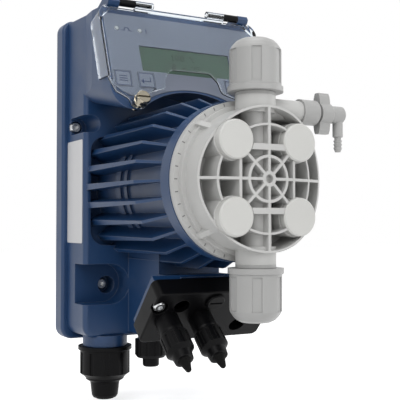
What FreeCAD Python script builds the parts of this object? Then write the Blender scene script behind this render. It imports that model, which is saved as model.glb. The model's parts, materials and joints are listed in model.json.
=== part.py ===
import FreeCAD, Part
import math
import os
import Sketcher
from FreeCAD import Placement, Rotation, Vector

# Wall-mounted solenoid diaphragm metering pump.
# +Z is up, -Y is the front, +X is right as seen from the front.
# The origin is on the wall, level with the axis of the pump head.
# "Depth" is the distance in front of the wall.

doc = FreeCAD.newDocument("metering_pump")
sheet = doc.addObject("Spreadsheet::Sheet", "sizes")
NODES = []


class Size:
    """A dimension: its value, and the sheet expression that gives it."""

    def __init__(self, value, text):
        self.value = float(value)
        self.text = text

    def __add__(self, other):
        other = as_size(other)
        return Size(self.value + other.value, f"({self.text} + {other.text})")

    def __radd__(self, other):
        return as_size(other) + self

    def __sub__(self, other):
        other = as_size(other)
        return Size(self.value - other.value, f"({self.text} - {other.text})")

    def __rsub__(self, other):
        return as_size(other) - self

    def __mul__(self, other):
        other = as_size(other)
        return Size(self.value * other.value, f"({self.text} * {other.text})")

    def __rmul__(self, other):
        return as_size(other) * self

    def __truediv__(self, other):
        other = as_size(other)
        return Size(self.value / other.value, f"({self.text} / {other.text})")

    def __neg__(self):
        return Size(-self.value, f"(-1 * {self.text})")


def as_size(number):
    """Any plain number as a Size."""
    if isinstance(number, Size):
        return number
    return Size(number, f"{number:g}")


class Sheet:
    """Writes driving dimensions into the sheet; each is then read as an attribute."""

    def __init__(self):
        self.row = 0

    def add(self, **sizes):
        for alias, value in sizes.items():
            self.row += 1
            cell = f"A{self.row}"
            sheet.set(cell, f"{value:g}")
            sheet.setAlias(cell, alias)
            setattr(self, alias, Size(value, f"sizes.{alias}"))


S = Sheet()
# Casing: rear shell with a wider flange, front moulding, control housing above
S.add(flange_half=58, flange_top=118, flange_low=-104, flange_deep=12, flange_corner=8)
S.add(shell_rim=14, shell_floor=6, body_half=54, body_low=-100, body_front=44, body_corner=8)
S.add(roof_back=115.5, roof_front=112.5, house_half=56.3, flare_start=46, flare_end=62)
S.add(wall=3, cavity_half=40, cavity_deep=24, edge_soft=2)
# Wall bracket
S.add(bracket_half=42, bracket_tall=130, bracket_thick=3, bracket_x=60, bracket_z=100, bracket_hole=2.75)
# Control panel: its plane leans back by panel_lean and passes panel_height at panel_deep
S.add(panel_lean=20.5, panel_deep=74.7, panel_height=107.8, panel_low=-66.5, under_back=56)
S.add(arch_back=64, arch_front=59, overlay_thick=0.4, overlay_half=54.5, overlay_arch=65.1)
S.add(lcd_half=33, lcd_top=-20.6, lcd_low=-39, key_wide=11, key_tall=10.6, key_mid=-45.8)
S.add(key_outer=47.3, key_inner=31.5, key_gap=0.3, key_proud=0.3, key_travel=0.5, key_play=0.1)
S.add(board_gap=3, board_thick=1.6, board_half=50, board_top=-3, board_low=-38, switch_high=1.7)
S.add(leg_inner=25.2, leg_outer=53.8, leg_top=-39.5, leg_low=-53, leg_deep=6, key_flange=0.8)
# Clear lid
S.add(lid_half=58.5, lid_thick=1.8, lid_front=4.5, lid_top=6)
S.add(hinge_up=7.5, hinge_out=4.7, knuckle=2.4, hinge_pin=1.2, knuckle_in=20.2, knuckle_out=32.8)
S.add(block_out=44.1, running=0.06, lid_screw_x=40, lid_screw_y=-63, lid_screw_head=4.6)
S.add(skirt_deep=11)
# Solenoid housing and fins
S.add(fin_reach=52.5, fin_root=4.2, fin_mid=1.9, fin_tip=1.4, fin_front=118, fin_end=43.2)
S.add(slope_front=141, drum=42, drum_front=151)
S.add(drum_lip=46.6, recess_half=49.5, recess_low=-38.6, recess_high=34, recess_back=36)
S.add(yoke_outer=37.5, yoke_wall=3, yoke_back=20, yoke_front=112, armature=11, armature_back=41)
S.add(armature_front=98, pole_face=100, shaft=3, web_front=120, chamber=23)
S.add(bush_outer=8, slip=0.05, coil_outer=32, bobbin_wall=2, bore_gap=0.5)
# Pump head
S.add(head_flange=46, flange_step=5, band=43, head_wall=40.5, wall_thick=1.3, head_plate=9)
S.add(head_nose=181, dome=100, rib_ring=30.6, rib_hub=13.2, rib_thin=1.6, rib_mid=3.4, rib_side=17.5)
S.add(bolt_pitch=41.5, bolt_boss=11.4, cap_radius=10.8, cap_thick=5, bolt_shank=3, bolt_head=5)
S.add(diaphragm=25, diaphragm_thick=2, chamber_cut=2.5, port=2.5)
# Valves along the vertical channel
S.add(valve_deep=167, channel=9, neck=11.4, neck_end=47, collar=1.9, cartridge=7, cartridge_end=14.5)
S.add(spigot=10.5, spigot_end=66, ball=4.2, ball_lift=1, ball_clear=0.1, seat=3, flow=2.6)
S.add(nut_rim=15.7, nut_body=14.7, nut_flute=0.8, nut_long=30, nut_end=9.2, hose_hole=3.1, suction_hole=4.6)
S.add(prime_height=40.3, prime_boss=6.3, prime_boss_end=29.5, prime_sleeve=7.4, prime_sleeve_end=41.5)
S.add(spindle=2.5, knob_end=52, elbow_end=61.8, barb_x=58.6, barb_end=18.2, barb=2)
# Connector box, sloping plate and cable glands
S.add(box_half=22, box_front=90, box_low=-97, plate_fall=42.3, plate_deep=131, plate_height=-65)
S.add(plate_half=42, plate_long=42, plate_thick=12, plate_wall=3, plate_seat=4)
S.add(gland_body=7.4, gland_nut=8.6, gland_hole=6)
S.add(power_x=-34, power_deep=32, power_neck=15, power_low=-106.5, power_nut=16.8)
S.add(socket_x=-11.4, socket_deep=57, socket_radius=10.6, io_seal=1)
# Screws of the casing
S.add(notch_z=42.3, notch_round=5.8, notch_x=48.8, notch_back=18, upper_x=50.5, seat_back=14.5)
S.add(pocket_x=35, pocket_z=-64.6, pocket_round=13.4, pocket_back=26.7, lower_x=31.2, lower_z=-66.2)
S.add(seal_half=45, seal_low=-92, seal_top=107, seal_wide=2, seal_thick=1.2)
S.add(screw_head=3.8, screw_shank=2, screw_tall=4)
S.add(label_back=12.5, label_front=40.5, label_low=-37.3, label_top=32, label_thick=0.3)
S.add(driver_half=36, driver_low=42, driver_top=64, power_spigot=12.5, power_seal=6.8, pocket_bore=6)
S.add(shaft_front=147, seat_deep=140, spring_radius=6.5, spring_wire=0.7, boss_front=176)
S.add(centre_boss=4.4, prime_stem=4.4, knob_start=43, elbow_bore=2.2)
doc.recompute()


# Helpers for sketches and features


def bind(thing, **sizes):
    """Set properties, each tied to its sheet expression; a double underscore stands for a dot."""
    for name, size in sizes.items():
        size = as_size(size)
        path = name.replace("__", ".")
        if "__" not in name:
            setattr(thing, name, size.value)
        thing.setExpression(path, size.text)


def new_body(name):
    """A body that becomes one node, with its name as Label."""
    body = doc.addObject("PartDesign::Body", name)
    body.Label = name
    NODES.append(body)
    return body


def plane_of(body, role):
    """One of the body's own origin planes."""
    for feature in body.Origin.OriginFeatures:
        if feature.Role == role:
            return feature
    raise ValueError(role)


def panel_frame(lift=0):
    """Local X right, Y up the leaning panel, Z out of it, at a height above the panel's plane."""
    turn = Rotation(Vector(1, 0, 0), 90 - S.panel_lean.value)
    base = Vector(0, -S.panel_deep.value, S.panel_height.value)
    return Placement(base + turn.multVec(Vector(0, 0, as_size(lift).value)), turn)


def plate_frame(lift=0):
    """Local X right, Y up the sloping connector plate, Z out of its front face."""
    turn = Rotation(Vector(1, 0, 0), 90 + S.plate_fall.value)
    base = Vector(0, -S.plate_deep.value, S.plate_height.value)
    return Placement(base + turn.multVec(Vector(0, 0, as_size(lift).value)), turn)


def sketch_on(body, plane, lift=0, frame=None):
    """An empty sketch on an origin plane, lifted along its normal, or on a given frame."""
    sketch = body.newObject("Sketcher::SketchObject", body.Name + "_sketch")
    sketch.AttachmentSupport = (plane_of(body, plane), [""])
    sketch.MapMode = "FlatFace"
    if frame is not None:
        sketch.AttachmentOffset = frame
        return sketch
    lift = as_size(lift)
    sketch.AttachmentOffset = Placement(Vector(0, 0, lift.value), Rotation())
    sketch.setExpression("AttachmentOffset.Base.z", lift.text)
    return sketch


def outline(sketch, points):
    """A closed line through the points, with each corner tied to the sheet."""
    points = [(as_size(x), as_size(y)) for x, y in points]
    count = len(points)
    first = len(sketch.Geometry)
    ties = []
    for index in range(count):
        start = points[index]
        end = points[(index + 1) % count]
        line = Part.LineSegment(Vector(start[0].value, start[1].value), Vector(end[0].value, end[1].value))
        sketch.addGeometry(line, False)
        ties.append(Sketcher.Constraint("Coincident", first + index, 2, first + (index + 1) % count, 1))
    sketch.addConstraint(ties)
    for index, (x, y) in enumerate(points):
        across = sketch.addConstraint(Sketcher.Constraint("DistanceX", -1, 1, first + index, 1, x.value))
        up = sketch.addConstraint(Sketcher.Constraint("DistanceY", -1, 1, first + index, 1, y.value))
        sketch.setExpression(f"Constraints[{across}]", x.text)
        sketch.setExpression(f"Constraints[{up}]", y.text)


def circle(sketch, x, y, radius):
    """A circle whose centre and radius are tied to the sheet."""
    x, y, radius = as_size(x), as_size(y), as_size(radius)
    item = sketch.addGeometry(Part.Circle(Vector(x.value, y.value), Vector(0, 0, 1), radius.value), False)
    across = sketch.addConstraint(Sketcher.Constraint("DistanceX", -1, 1, item, 3, x.value))
    up = sketch.addConstraint(Sketcher.Constraint("DistanceY", -1, 1, item, 3, y.value))
    size = sketch.addConstraint(Sketcher.Constraint("Radius", item, radius.value))
    sketch.setExpression(f"Constraints[{across}]", x.text)
    sketch.setExpression(f"Constraints[{up}]", y.text)
    sketch.setExpression(f"Constraints[{size}]", radius.text)


def box_points(x0, x1, y0, y1):
    return [(x0, y0), (x1, y0), (x1, y1), (x0, y1)]


def pad(body, sketch, length, both=False, flip=False):
    """Material along the sketch's normal, or to both sides of it."""
    feature = body.newObject("PartDesign::Pad", body.Name + "_pad")
    feature.Profile = sketch
    feature.Refine = False
    feature.Midplane = both
    feature.Reversed = flip
    bind(feature, Length=length)
    return feature


def cut(body, sketch, length, both=False):
    """A pocket along the sketch's normal, or to both sides of it."""
    feature = body.newObject("PartDesign::Pocket", body.Name + "_pocket")
    feature.Profile = sketch
    feature.Refine = False
    feature.Midplane = both
    feature.Reversed = True
    bind(feature, Length=length)
    return feature


def turn(body, sketch, remove=False, degrees=360):
    """The sketch turned about its own vertical axis."""
    kind = "PartDesign::Groove" if remove else "PartDesign::Revolution"
    feature = body.newObject(kind, body.Name + "_turned")
    feature.Profile = sketch
    feature.Refine = False
    feature.ReferenceAxis = (sketch, ["V_Axis"])
    feature.Angle = degrees
    return feature


def around(body, features, count, degrees, axis_role):
    """Features repeated about one of the body's own axes."""
    feature = body.newObject("PartDesign::PolarPattern", body.Name + "_ring")
    feature.Originals = features
    feature.Refine = False
    feature.Axis = (plane_of(body, axis_role), [""])
    feature.Angle = degrees
    feature.Occurrences = count
    body.Tip = feature
    return feature


def rounded(body, radius, picks):
    """Rounds the straight edges that a test picks from the body as built so far."""
    doc.recompute()
    base = body.Tip
    names = [f"Edge{index + 1}" for index, edge in enumerate(base.Shape.Edges) if picks(edge)]
    if not names:
        raise ValueError(f"{body.Label}: no edge to round")
    feature = body.newObject("PartDesign::Fillet", body.Name + "_round")
    feature.Base = (base, names)
    bind(feature, Radius=radius)
    return feature


def along(axis, **near):
    """A test for straight edges along an axis whose middle has the coordinates named."""
    def test(edge):
        if edge.Curve.TypeId != "Part::GeomLine":
            return False
        first, last = edge.Vertexes[0].Point, edge.Vertexes[-1].Point
        if abs(getattr((last - first).normalize(), axis)) < 0.999:
            return False
        middle = (first + last) * 0.5
        for name, values in near.items():
            if not any(abs(getattr(middle, name) - as_size(value).value) < 0.02 for value in values):
                return False
        return True
    return test


FRONT = Rotation(Vector(1, 0, 0), 90)
UP = Rotation()
DOWN = Rotation(Vector(1, 0, 0), 180)
RIGHT = Rotation(Vector(0, 1, 0), 90)


def place(body, rotation, x=0, deep=0, z=0):
    """Turn a body and move it to x, a distance in front of the wall and a height."""
    body.Placement = Placement(Vector(as_size(x).value, -as_size(deep).value, as_size(z).value), rotation)
    bind(body, Placement__Base__x=x, Placement__Base__y=-as_size(deep), Placement__Base__z=z)
    return body


def turned(name, points, rotation=UP, x=0, deep=0, z=0):
    """A round piece: its half section (radius, height) turned about its own axis, then placed."""
    body = new_body(name)
    sketch = sketch_on(body, "XZ_Plane")
    outline(sketch, points)
    turn(body, sketch)
    return place(body, rotation, x, deep, z)


def group(name, shapes):
    """Several equal loose pieces that share one node."""
    node = doc.addObject("Part::Feature", name)
    node.Label = name
    node.Shape = Part.makeCompound(shapes)
    NODES.append(node)
    return node


def revolve_shape(points, origin, direction):
    """A solid of revolution from (radius, height) points, about an axis through a point."""
    flat = [Vector(as_size(r).value, 0, as_size(h).value) for r, h in points]
    face = Part.Face(Part.makePolygon(flat + flat[:1]))
    solid = face.revolve(Vector(0, 0, 0), Vector(0, 0, 1), 360)
    solid.Placement = Placement(origin, Rotation(Vector(0, 0, 1), direction))
    return solid


def point(x, deep, z):
    return Vector(as_size(x).value, -as_size(deep).value, as_size(z).value)


# Casing


def rear_shell():
    """Tray with the wide flange, screw bosses, a seat for the coil and a recess for the bracket."""
    body = new_body("rear_shell")
    sketch = sketch_on(body, "XZ_Plane")
    outline(sketch, box_points(-S.flange_half, S.flange_half, S.flange_low, S.flange_top))
    pad(body, sketch, S.flange_deep)
    rounded(body, S.flange_corner, along("y", x=[-S.flange_half, S.flange_half]))
    rounded(body, S.edge_soft, lambda edge: abs(edge.BoundBox.YMax + S.flange_deep.value) < 0.01)
    sketch = sketch_on(body, "XZ_Plane", S.shell_floor)
    inner = S.flange_half - S.shell_rim
    outline(sketch, box_points(-inner, inner, S.flange_low + S.shell_rim, S.flange_top - S.shell_rim))
    cut(body, sketch, S.flange_deep)
    rounded(body, S.body_corner, along("y", x=[-inner, inner]))
    bosses = sketch_on(body, "XZ_Plane", S.shell_floor)
    for side in (-1, 1):
        circle(bosses, side * S.lower_x, S.lower_z, S.screw_head + 1)
    pad(body, bosses, S.flange_deep - S.shell_floor)
    seat = sketch_on(body, "XZ_Plane", S.shell_floor)
    circle(seat, 0, 0, S.yoke_outer - S.yoke_wall)
    circle(seat, 0, 0, S.yoke_outer - 4 * S.yoke_wall)
    pad(body, seat, S.yoke_back - S.shell_floor)
    sketch = sketch_on(body, "XZ_Plane", -1)
    half = S.bracket_half + 2 * S.ball_clear
    tall = S.bracket_tall / 2 + 2 * S.ball_clear
    outline(sketch, box_points(-half, half, -tall, tall))
    cut(body, sketch, S.bracket_thick + 1)
    holes = sketch_on(body, "XZ_Plane", S.shell_floor / 2 + 1)
    for side in (-1, 1):
        circle(holes, side * S.upper_x, S.notch_z, S.screw_shank + S.slip)
        circle(holes, side * S.lower_x, S.lower_z, S.screw_shank + S.slip)
    cut(body, holes, S.flange_deep)
    heads = sketch_on(body, "XZ_Plane", S.bracket_thick)
    for side in (-1, 1):
        for level in (-1, 1):
            circle(heads, side * S.bracket_x / 2, level * S.bracket_z / 2, 2 * S.bracket_hole)
    cut(body, heads, S.flange_deep)


def wall_bracket():
    """Plate that is screwed to the wall; the rear shell sits over it."""
    body = new_body("wall_bracket")
    sketch = sketch_on(body, "XZ_Plane")
    outline(sketch, box_points(-S.bracket_half, S.bracket_half, -S.bracket_tall / 2, S.bracket_tall / 2))
    for side in (-1, 1):
        for level in (-1, 1):
            circle(sketch, side * S.bracket_x / 2, level * S.bracket_z / 2, S.bracket_hole)
    pad(body, sketch, S.bracket_thick)
    rounded(body, S.body_corner, along("y", x=[-S.bracket_half, S.bracket_half]))


def side_profile(body):
    """Everything in front of the body's face, above its roof and below the control housing."""
    sketch = sketch_on(body, "YZ_Plane")
    lean = math.tan(math.radians(S.panel_lean.value))
    low_z = S.panel_height + S.panel_low * math.cos(math.radians(S.panel_lean.value))
    low_y = -S.panel_deep - (S.panel_height - low_z) * lean
    top_y = -S.panel_deep + (S.roof_front - S.panel_height) * lean
    far = -S.head_nose
    outline(sketch, [
        (-S.body_front, S.body_low - 1), (-S.body_front, S.under_back), (low_y, low_z),
        (top_y, S.roof_front), (-S.flange_deep + 1, S.roof_back), (-S.flange_deep + 1, S.flange_top + 20),
        (far, S.flange_top + 20), (far, S.body_low - 1)])
    cut(body, sketch, 4 * S.house_half, both=True)
    return low_y, low_z


def casing_mass(body):
    """Body and control housing: plan outline drawn up, then cut to the side profile and arched."""
    sketch = sketch_on(body, "XY_Plane", S.body_low)
    front = -(S.panel_deep + 30)
    outline(sketch, [
        (-S.body_half, -S.flange_deep), (-S.body_half, -S.flare_start), (-S.house_half, -S.flare_end),
        (-S.house_half, front), (S.house_half, front), (S.house_half, -S.flare_end),
        (S.body_half, -S.flare_start), (S.body_half, -S.flange_deep)])
    pad(body, sketch, S.roof_back - S.body_low)
    low_y, low_z = side_profile(body)
    sketch = sketch_on(body, "XY_Plane")
    outline(sketch, [
        (0, -S.body_front), (S.arch_back, -S.body_front), (S.arch_front, -S.panel_deep - 25),
        (S.arch_front, -S.panel_deep - 40), (0, -S.panel_deep - 40)])
    turn(body, sketch, remove=True)
    rounded(body, S.body_corner, along("y", x=[-S.body_half, S.body_half], z=[S.body_low]))

    def lobe(edge):
        box = edge.BoundBox
        inside = box.ZMax < S.under_back.value + 0.1 and box.ZMin > low_z.value - 0.1
        return inside and abs(box.Center.x) > S.house_half.value - 0.2

    rounded(body, 13, lobe)
    rounded(body, S.edge_soft + 1, along("z", y=[-S.body_front]))


def casing_recesses(body):
    """Sunk field round the fins, the screw notches at the sides and the lower screw pockets."""
    sketch = sketch_on(body, "XZ_Plane", S.recess_back)
    outline(sketch, box_points(-S.recess_half, S.recess_half, S.recess_low, S.recess_high))
    cut(body, sketch, S.body_front - S.recess_back + 1)
    rounded(body, S.body_corner + 2, along("y", x=[-S.recess_half, S.recess_half]))
    for side in (-1, 1):
        parts = (
            (S.notch_back, S.notch_x, S.notch_z, S.notch_round),
            (S.pocket_back, S.pocket_x, S.pocket_z, S.pocket_round))
        for back, x, z, radius in parts:
            deep = S.body_front - back + 1
            sketch = sketch_on(body, "XZ_Plane", back)
            outline(sketch, box_points(side * x, side * (S.body_half + 3), z - radius, z + radius))
            cut(body, sketch, deep)
            sketch = sketch_on(body, "XZ_Plane", back)
            circle(sketch, side * x, z, radius)
            cut(body, sketch, deep)


def solenoid_drum(body):
    """Ringed drum with radial cooling fins that slope in to the round lip behind the head."""
    sketch = sketch_on(body, "XY_Plane")
    ring = S.drum + 1.4
    outline(sketch, [
        (0, -S.recess_back + 3), (S.drum, -S.recess_back + 3), (S.drum, -71), (ring, -71), (ring, -78),
        (S.drum, -78), (S.drum, -84), (ring, -84), (ring, -88), (S.drum, -88), (S.drum, -S.slope_front),
        (S.drum_lip, -S.slope_front), (S.drum_lip, -S.drum_front), (0, -S.drum_front)])
    turn(body, sketch)


def cooling_fins(body):
    """Thirteen pairs of radial fins at equal steps, drafted thinner from the wall to the front.

    Each fin is a loft through its sections at the field, at the bend and at the round lip.
    """
    root = S.drum - 1
    stations = (
        (S.recess_back, S.fin_reach, S.fin_root), (S.fin_front, S.fin_reach, S.fin_mid),
        (S.slope_front + 1, S.fin_end, S.fin_tip))
    fins = []
    for side in (-1, 1):
        sections = []
        for deep, reach, thick in stations:
            sketch = sketch_on(body, "XZ_Plane", deep)
            outline(sketch, box_points(side * root, side * reach, -thick / 2, thick / 2))
            sections.append(sketch)
        fin = body.newObject("PartDesign::AdditiveLoft", "fin")
        fin.Profile = sections[0]
        fin.Sections = sections[1:]
        fin.Ruled = True
        doc.recompute()
        fins.append(fin)
    for flip in (False, True):
        ring = around(body, fins, 7, 80, "Y_Axis")
        ring.Reversed = flip


def connector_box(body):
    """Box under the drum that carries the sloping connector plate on a flange."""
    fall = math.radians(S.plate_fall.value)
    back = S.plate_thick + S.io_seal
    top = (-(S.plate_deep - back * math.cos(fall)), S.plate_height + back * math.sin(fall))
    low = (top[0] + S.plate_long * math.sin(fall), top[1] - S.plate_long * math.cos(fall))
    sketch = sketch_on(body, "YZ_Plane")
    outline(sketch, [
        (-S.recess_back, -S.drum + 8), (-S.recess_back, S.box_low), (low[0] + 3, S.box_low), low, top,
        (-S.box_front, top[1]), (-S.box_front, -S.drum + 8)])
    pad(body, sketch, 2 * S.box_half, both=True)
    sketch = sketch_on(body, "XY_Plane", frame=plate_frame(-S.plate_thick - S.io_seal - S.plate_seat))
    half = S.plate_half - 2
    outline(sketch, box_points(-half, half, -S.plate_long + 2, -2))
    for x, y in plate_screw_places():
        circle(sketch, x, y, S.screw_shank)
    pad(body, sketch, S.plate_seat)
    sketch = sketch_on(body, "XY_Plane", S.power_low)
    circle(sketch, S.power_x, -S.power_deep, S.power_neck)
    pad(body, sketch, S.body_low - S.power_low + 1)
    sketch = sketch_on(body, "XY_Plane", S.power_low - 15)
    circle(sketch, S.power_x, -S.power_deep, S.power_spigot)
    pad(body, sketch, 16)
    sketch = sketch_on(body, "XY_Plane", S.box_low - 4)
    circle(sketch, S.socket_x, -S.socket_deep, S.socket_radius - 2)
    pad(body, sketch, 5)


def hinge_ears(body):
    """Two ears on the roof that hold the ends of the lid's hinge pins."""
    axis_y, axis_z = hinge_axis()
    for side in (-1, 1):
        sketch = sketch_on(body, "YZ_Plane", side * S.block_out)
        outline(sketch, [
            (axis_y + 22, S.roof_front), (axis_y + 8, axis_z + S.knuckle), (axis_y - 1, axis_z + S.knuckle),
            (axis_y - S.knuckle, axis_z), (axis_y - 1, axis_z - S.knuckle), (axis_y + 5, S.roof_front - 2),
            (axis_y + 22, S.roof_front - 2)])
        pad(body, sketch, 8, flip=side < 0)
    sketch = sketch_on(body, "YZ_Plane")
    circle(sketch, axis_y, axis_z, S.hinge_pin)
    cut(body, sketch, 2 * S.block_out + 10, both=True)


def hinge_axis():
    """Height and depth of the lid's hinge line, from its place on the panel."""
    lean = math.radians(S.panel_lean.value)
    y = -S.panel_deep + S.hinge_up * math.sin(lean) - S.hinge_out * math.cos(lean)
    z = S.panel_height + S.hinge_up * math.cos(lean) + S.hinge_out * math.sin(lean)
    return y, z


def seal_outline(sketch):
    """Ring that the casing's seal fills, between the cavity and the screws."""
    for grow in (S.seal_wide, as_size(0)):
        half = S.seal_half + grow
        outline(sketch, box_points(-half, half, S.seal_low - grow, S.seal_top + grow))


def casing_cavities(body):
    """Hollows for the boards and the coil, the bore for the shaft, and the ways to panel and plate."""
    sketch = sketch_on(body, "XZ_Plane", S.flange_deep - 1)
    outline(sketch, box_points(-S.cavity_half, S.cavity_half, S.body_low + 12, S.roof_front - 3 * S.wall))
    cut(body, sketch, S.cavity_deep - S.flange_deep + 1)
    sketch = sketch_on(body, "XZ_Plane", S.flange_deep)
    seal_outline(sketch)
    cut(body, sketch, S.seal_thick)
    sketch = sketch_on(body, "XZ_Plane", S.flange_deep - 1)
    circle(sketch, 0, 0, S.yoke_outer + S.bore_gap)
    cut(body, sketch, S.yoke_front - S.flange_deep + 1)
    sketch = sketch_on(body, "XZ_Plane", S.web_front)
    circle(sketch, 0, 0, S.chamber)
    cut(body, sketch, S.drum_front)
    sketch = sketch_on(body, "XZ_Plane", S.yoke_front - 1)
    circle(sketch, 0, 0, S.bush_outer + S.slip)
    cut(body, sketch, S.drum_front)
    sketch = sketch_on(body, "XZ_Plane", S.web_front + 8)
    for side in (-1, 1):
        for level in (-1, 1):
            circle(sketch, side * S.bolt_pitch / 2, level * S.bolt_pitch / 2, S.bolt_shank + S.slip)
    cut(body, sketch, S.drum_front)
    lean = math.tan(math.radians(S.panel_lean.value))
    inner = S.wall / math.cos(math.radians(S.panel_lean.value))
    floor = S.arch_back + S.wall
    sketch = sketch_on(body, "YZ_Plane")
    outline(sketch, [
        (-S.cavity_deep + 4, floor), (-S.cavity_deep + 4, S.roof_front - S.wall),
        (-S.panel_deep + inner + (S.roof_front - S.wall - S.panel_height) * lean, S.roof_front - S.wall),
        (-S.panel_deep + inner - (S.panel_height - floor) * lean, floor)])
    cut(body, sketch, 2 * (S.house_half - S.wall - 2), both=True)
    sketch = sketch_on(body, "XZ_Plane", S.cavity_deep - 1)
    outline(sketch, box_points(-S.box_half + 4, S.box_half - 4, S.box_low + 4, S.plate_height + 3))
    cut(body, sketch, S.box_front - S.cavity_deep - S.wall)
    sketch = sketch_on(body, "XZ_Plane", S.box_front - 2 * S.wall)
    outline(sketch, box_points(-S.box_half + 4, S.box_half - 4, S.plate_height - 15, S.plate_height + 3))
    cut(body, sketch, 4 * S.wall)
    sketch = sketch_on(body, "XY_Plane", frame=plate_frame(-S.plate_thick - 12))
    outline(sketch, box_points(-S.box_half + 4, S.box_half - 4, -S.plate_long + 8, -14))
    cut(body, sketch, 14)
    sketch = sketch_on(body, "XY_Plane", frame=plate_frame(-S.plate_thick - S.io_seal - S.plate_seat))
    for x, y in plate_screw_places():
        circle(sketch, x, y, S.screw_shank)
    cut(body, sketch, S.plate_seat + 1)
    sketch = sketch_on(body, "XY_Plane", S.power_low - 16)
    circle(sketch, S.power_x, -S.power_deep, S.power_seal - 1)
    cut(body, sketch, S.body_low - S.power_low + 24)
    sketch = sketch_on(body, "XZ_Plane", S.drum_front - S.diaphragm_thick)
    circle(sketch, 0, 0, S.diaphragm)
    cut(body, sketch, 5)


def casing_screw_holes(body):
    """Counterbores and clearance holes for the four screws into the rear shell."""
    bosses = sketch_on(body, "XZ_Plane", S.flange_deep)
    for side in (-1, 1):
        circle(bosses, side * S.lower_x, S.lower_z, S.pocket_bore + 2)
    pad(body, bosses, S.pocket_back - S.flange_deep)
    spots = (
        (S.upper_x, S.notch_z, S.notch_back, S.screw_head + 0.5),
        (S.lower_x, S.lower_z, S.pocket_back, S.pocket_bore))
    for side in (-1, 1):
        for x, z, back, radius in spots:
            sketch = sketch_on(body, "XZ_Plane", S.seat_back)
            circle(sketch, side * x, z, radius)
            cut(body, sketch, back - S.seat_back + 1)
            sketch = sketch_on(body, "XZ_Plane", S.flange_deep - 1)
            circle(sketch, side * x, z, S.screw_shank + 0.2)
            cut(body, sketch, S.seat_back)


def panel_openings(body):
    """Window and key openings through the panel's wall, board pillars and the lid screws' holes."""
    sketch = sketch_on(body, "XY_Plane", frame=panel_frame(-S.wall - 2))
    outline(sketch, box_points(-S.lcd_half, S.lcd_half, S.lcd_low, S.lcd_top))
    for x in key_places():
        half = S.key_wide / 2 + S.key_gap
        tall = S.key_tall / 2 + S.key_gap
        outline(sketch, box_points(x - half, x + half, S.key_mid - tall, S.key_mid + tall))
    for x in led_places():
        circle(sketch, x, LED_Y, LED_RADIUS + S.running)
    cut(body, sketch, S.wall + 4)
    for side in (-1, 1):
        legs = sketch_on(body, "XY_Plane", frame=panel_frame(-S.wall - S.leg_deep))
        outline(legs, box_points(side * S.leg_inner, side * S.leg_outer, S.leg_low, S.leg_top))
        cut(body, legs, S.leg_deep)
    pillars = sketch_on(body, "XY_Plane", frame=panel_frame(-S.wall - S.board_gap))
    for x, y in pillar_places():
        circle(pillars, x, y, 3)
    pad(body, pillars, S.board_gap + 0.5)
    holes = sketch_on(body, "XY_Plane", frame=panel_frame(-S.wall - S.board_gap - 1))
    for x, y in pillar_places():
        circle(holes, x, y, 1.5)
    cut(body, holes, S.board_gap + 2)
    holes = sketch_on(body, "XY_Plane", frame=panel_frame(-6))
    for side in (-1, 1):
        circle(holes, side * S.lid_screw_x, S.lid_screw_y, 2.2)
    cut(body, holes, 8)


LED_Y = -9.5
LED_RADIUS = 1.6


def key_places():
    return [-S.key_outer, -S.key_inner, S.key_inner, S.key_outer]


def led_places():
    return [-46.5, -30.5]


def pillar_places():
    x = S.board_half - 3
    return [(side * x, y) for side in (-1, 1) for y in (S.board_top - 12, S.board_top - 31)]


def front_casing():
    """Housing in one moulding; its fins are made last, on the finished drum."""
    body = new_body("front_casing")
    casing_mass(body)
    casing_recesses(body)
    solenoid_drum(body)
    connector_box(body)
    hinge_ears(body)
    casing_cavities(body)
    casing_screw_holes(body)
    panel_openings(body)
    cooling_fins(body)


def casing_gasket():
    """Square seal between the two halves of the casing."""
    body = new_body("casing_gasket")
    sketch = sketch_on(body, "XZ_Plane", S.flange_deep)
    seal_outline(sketch)
    pad(body, sketch, S.seal_thick)


def screw(radius, tall, shank, long, base, direction):
    """A pan-head screw whose head stands on a seat; the shank runs the other way."""
    points = [(0, -long), (shank, -long), (shank, 0), (radius, 0), (radius, tall * 0.6), (radius * 0.8, tall)]
    points.append((radius * 0.45, tall))
    points.append((radius * 0.45, tall * 0.4))
    points.append((0, tall * 0.4))
    return revolve_shape(points, base, direction)


def casing_screws():
    seats = ((S.upper_x, S.notch_z, 8), (S.lower_x, S.lower_z, 6.5))
    shapes = []
    for side in (-1, 1):
        for x, z, long in seats:
            base = point(side * x, S.seat_back, z)
            shapes.append(
                screw(S.screw_head, S.screw_tall, S.screw_shank, as_size(long), base, Vector(0, -1, 0)))
    group("casing_screws", shapes)


def side_label():
    """Bare plate on the left side face, where such pumps carry their data plate."""
    body = new_body("side_label")
    sketch = sketch_on(body, "YZ_Plane", -S.body_half)
    outline(sketch, box_points(-S.label_front, -S.label_back, S.label_low, S.label_top))
    pad(body, sketch, S.label_thick, flip=True)
    rounded(body, 1.5, lambda edge: edge.Length < 1)


# Control panel


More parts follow.
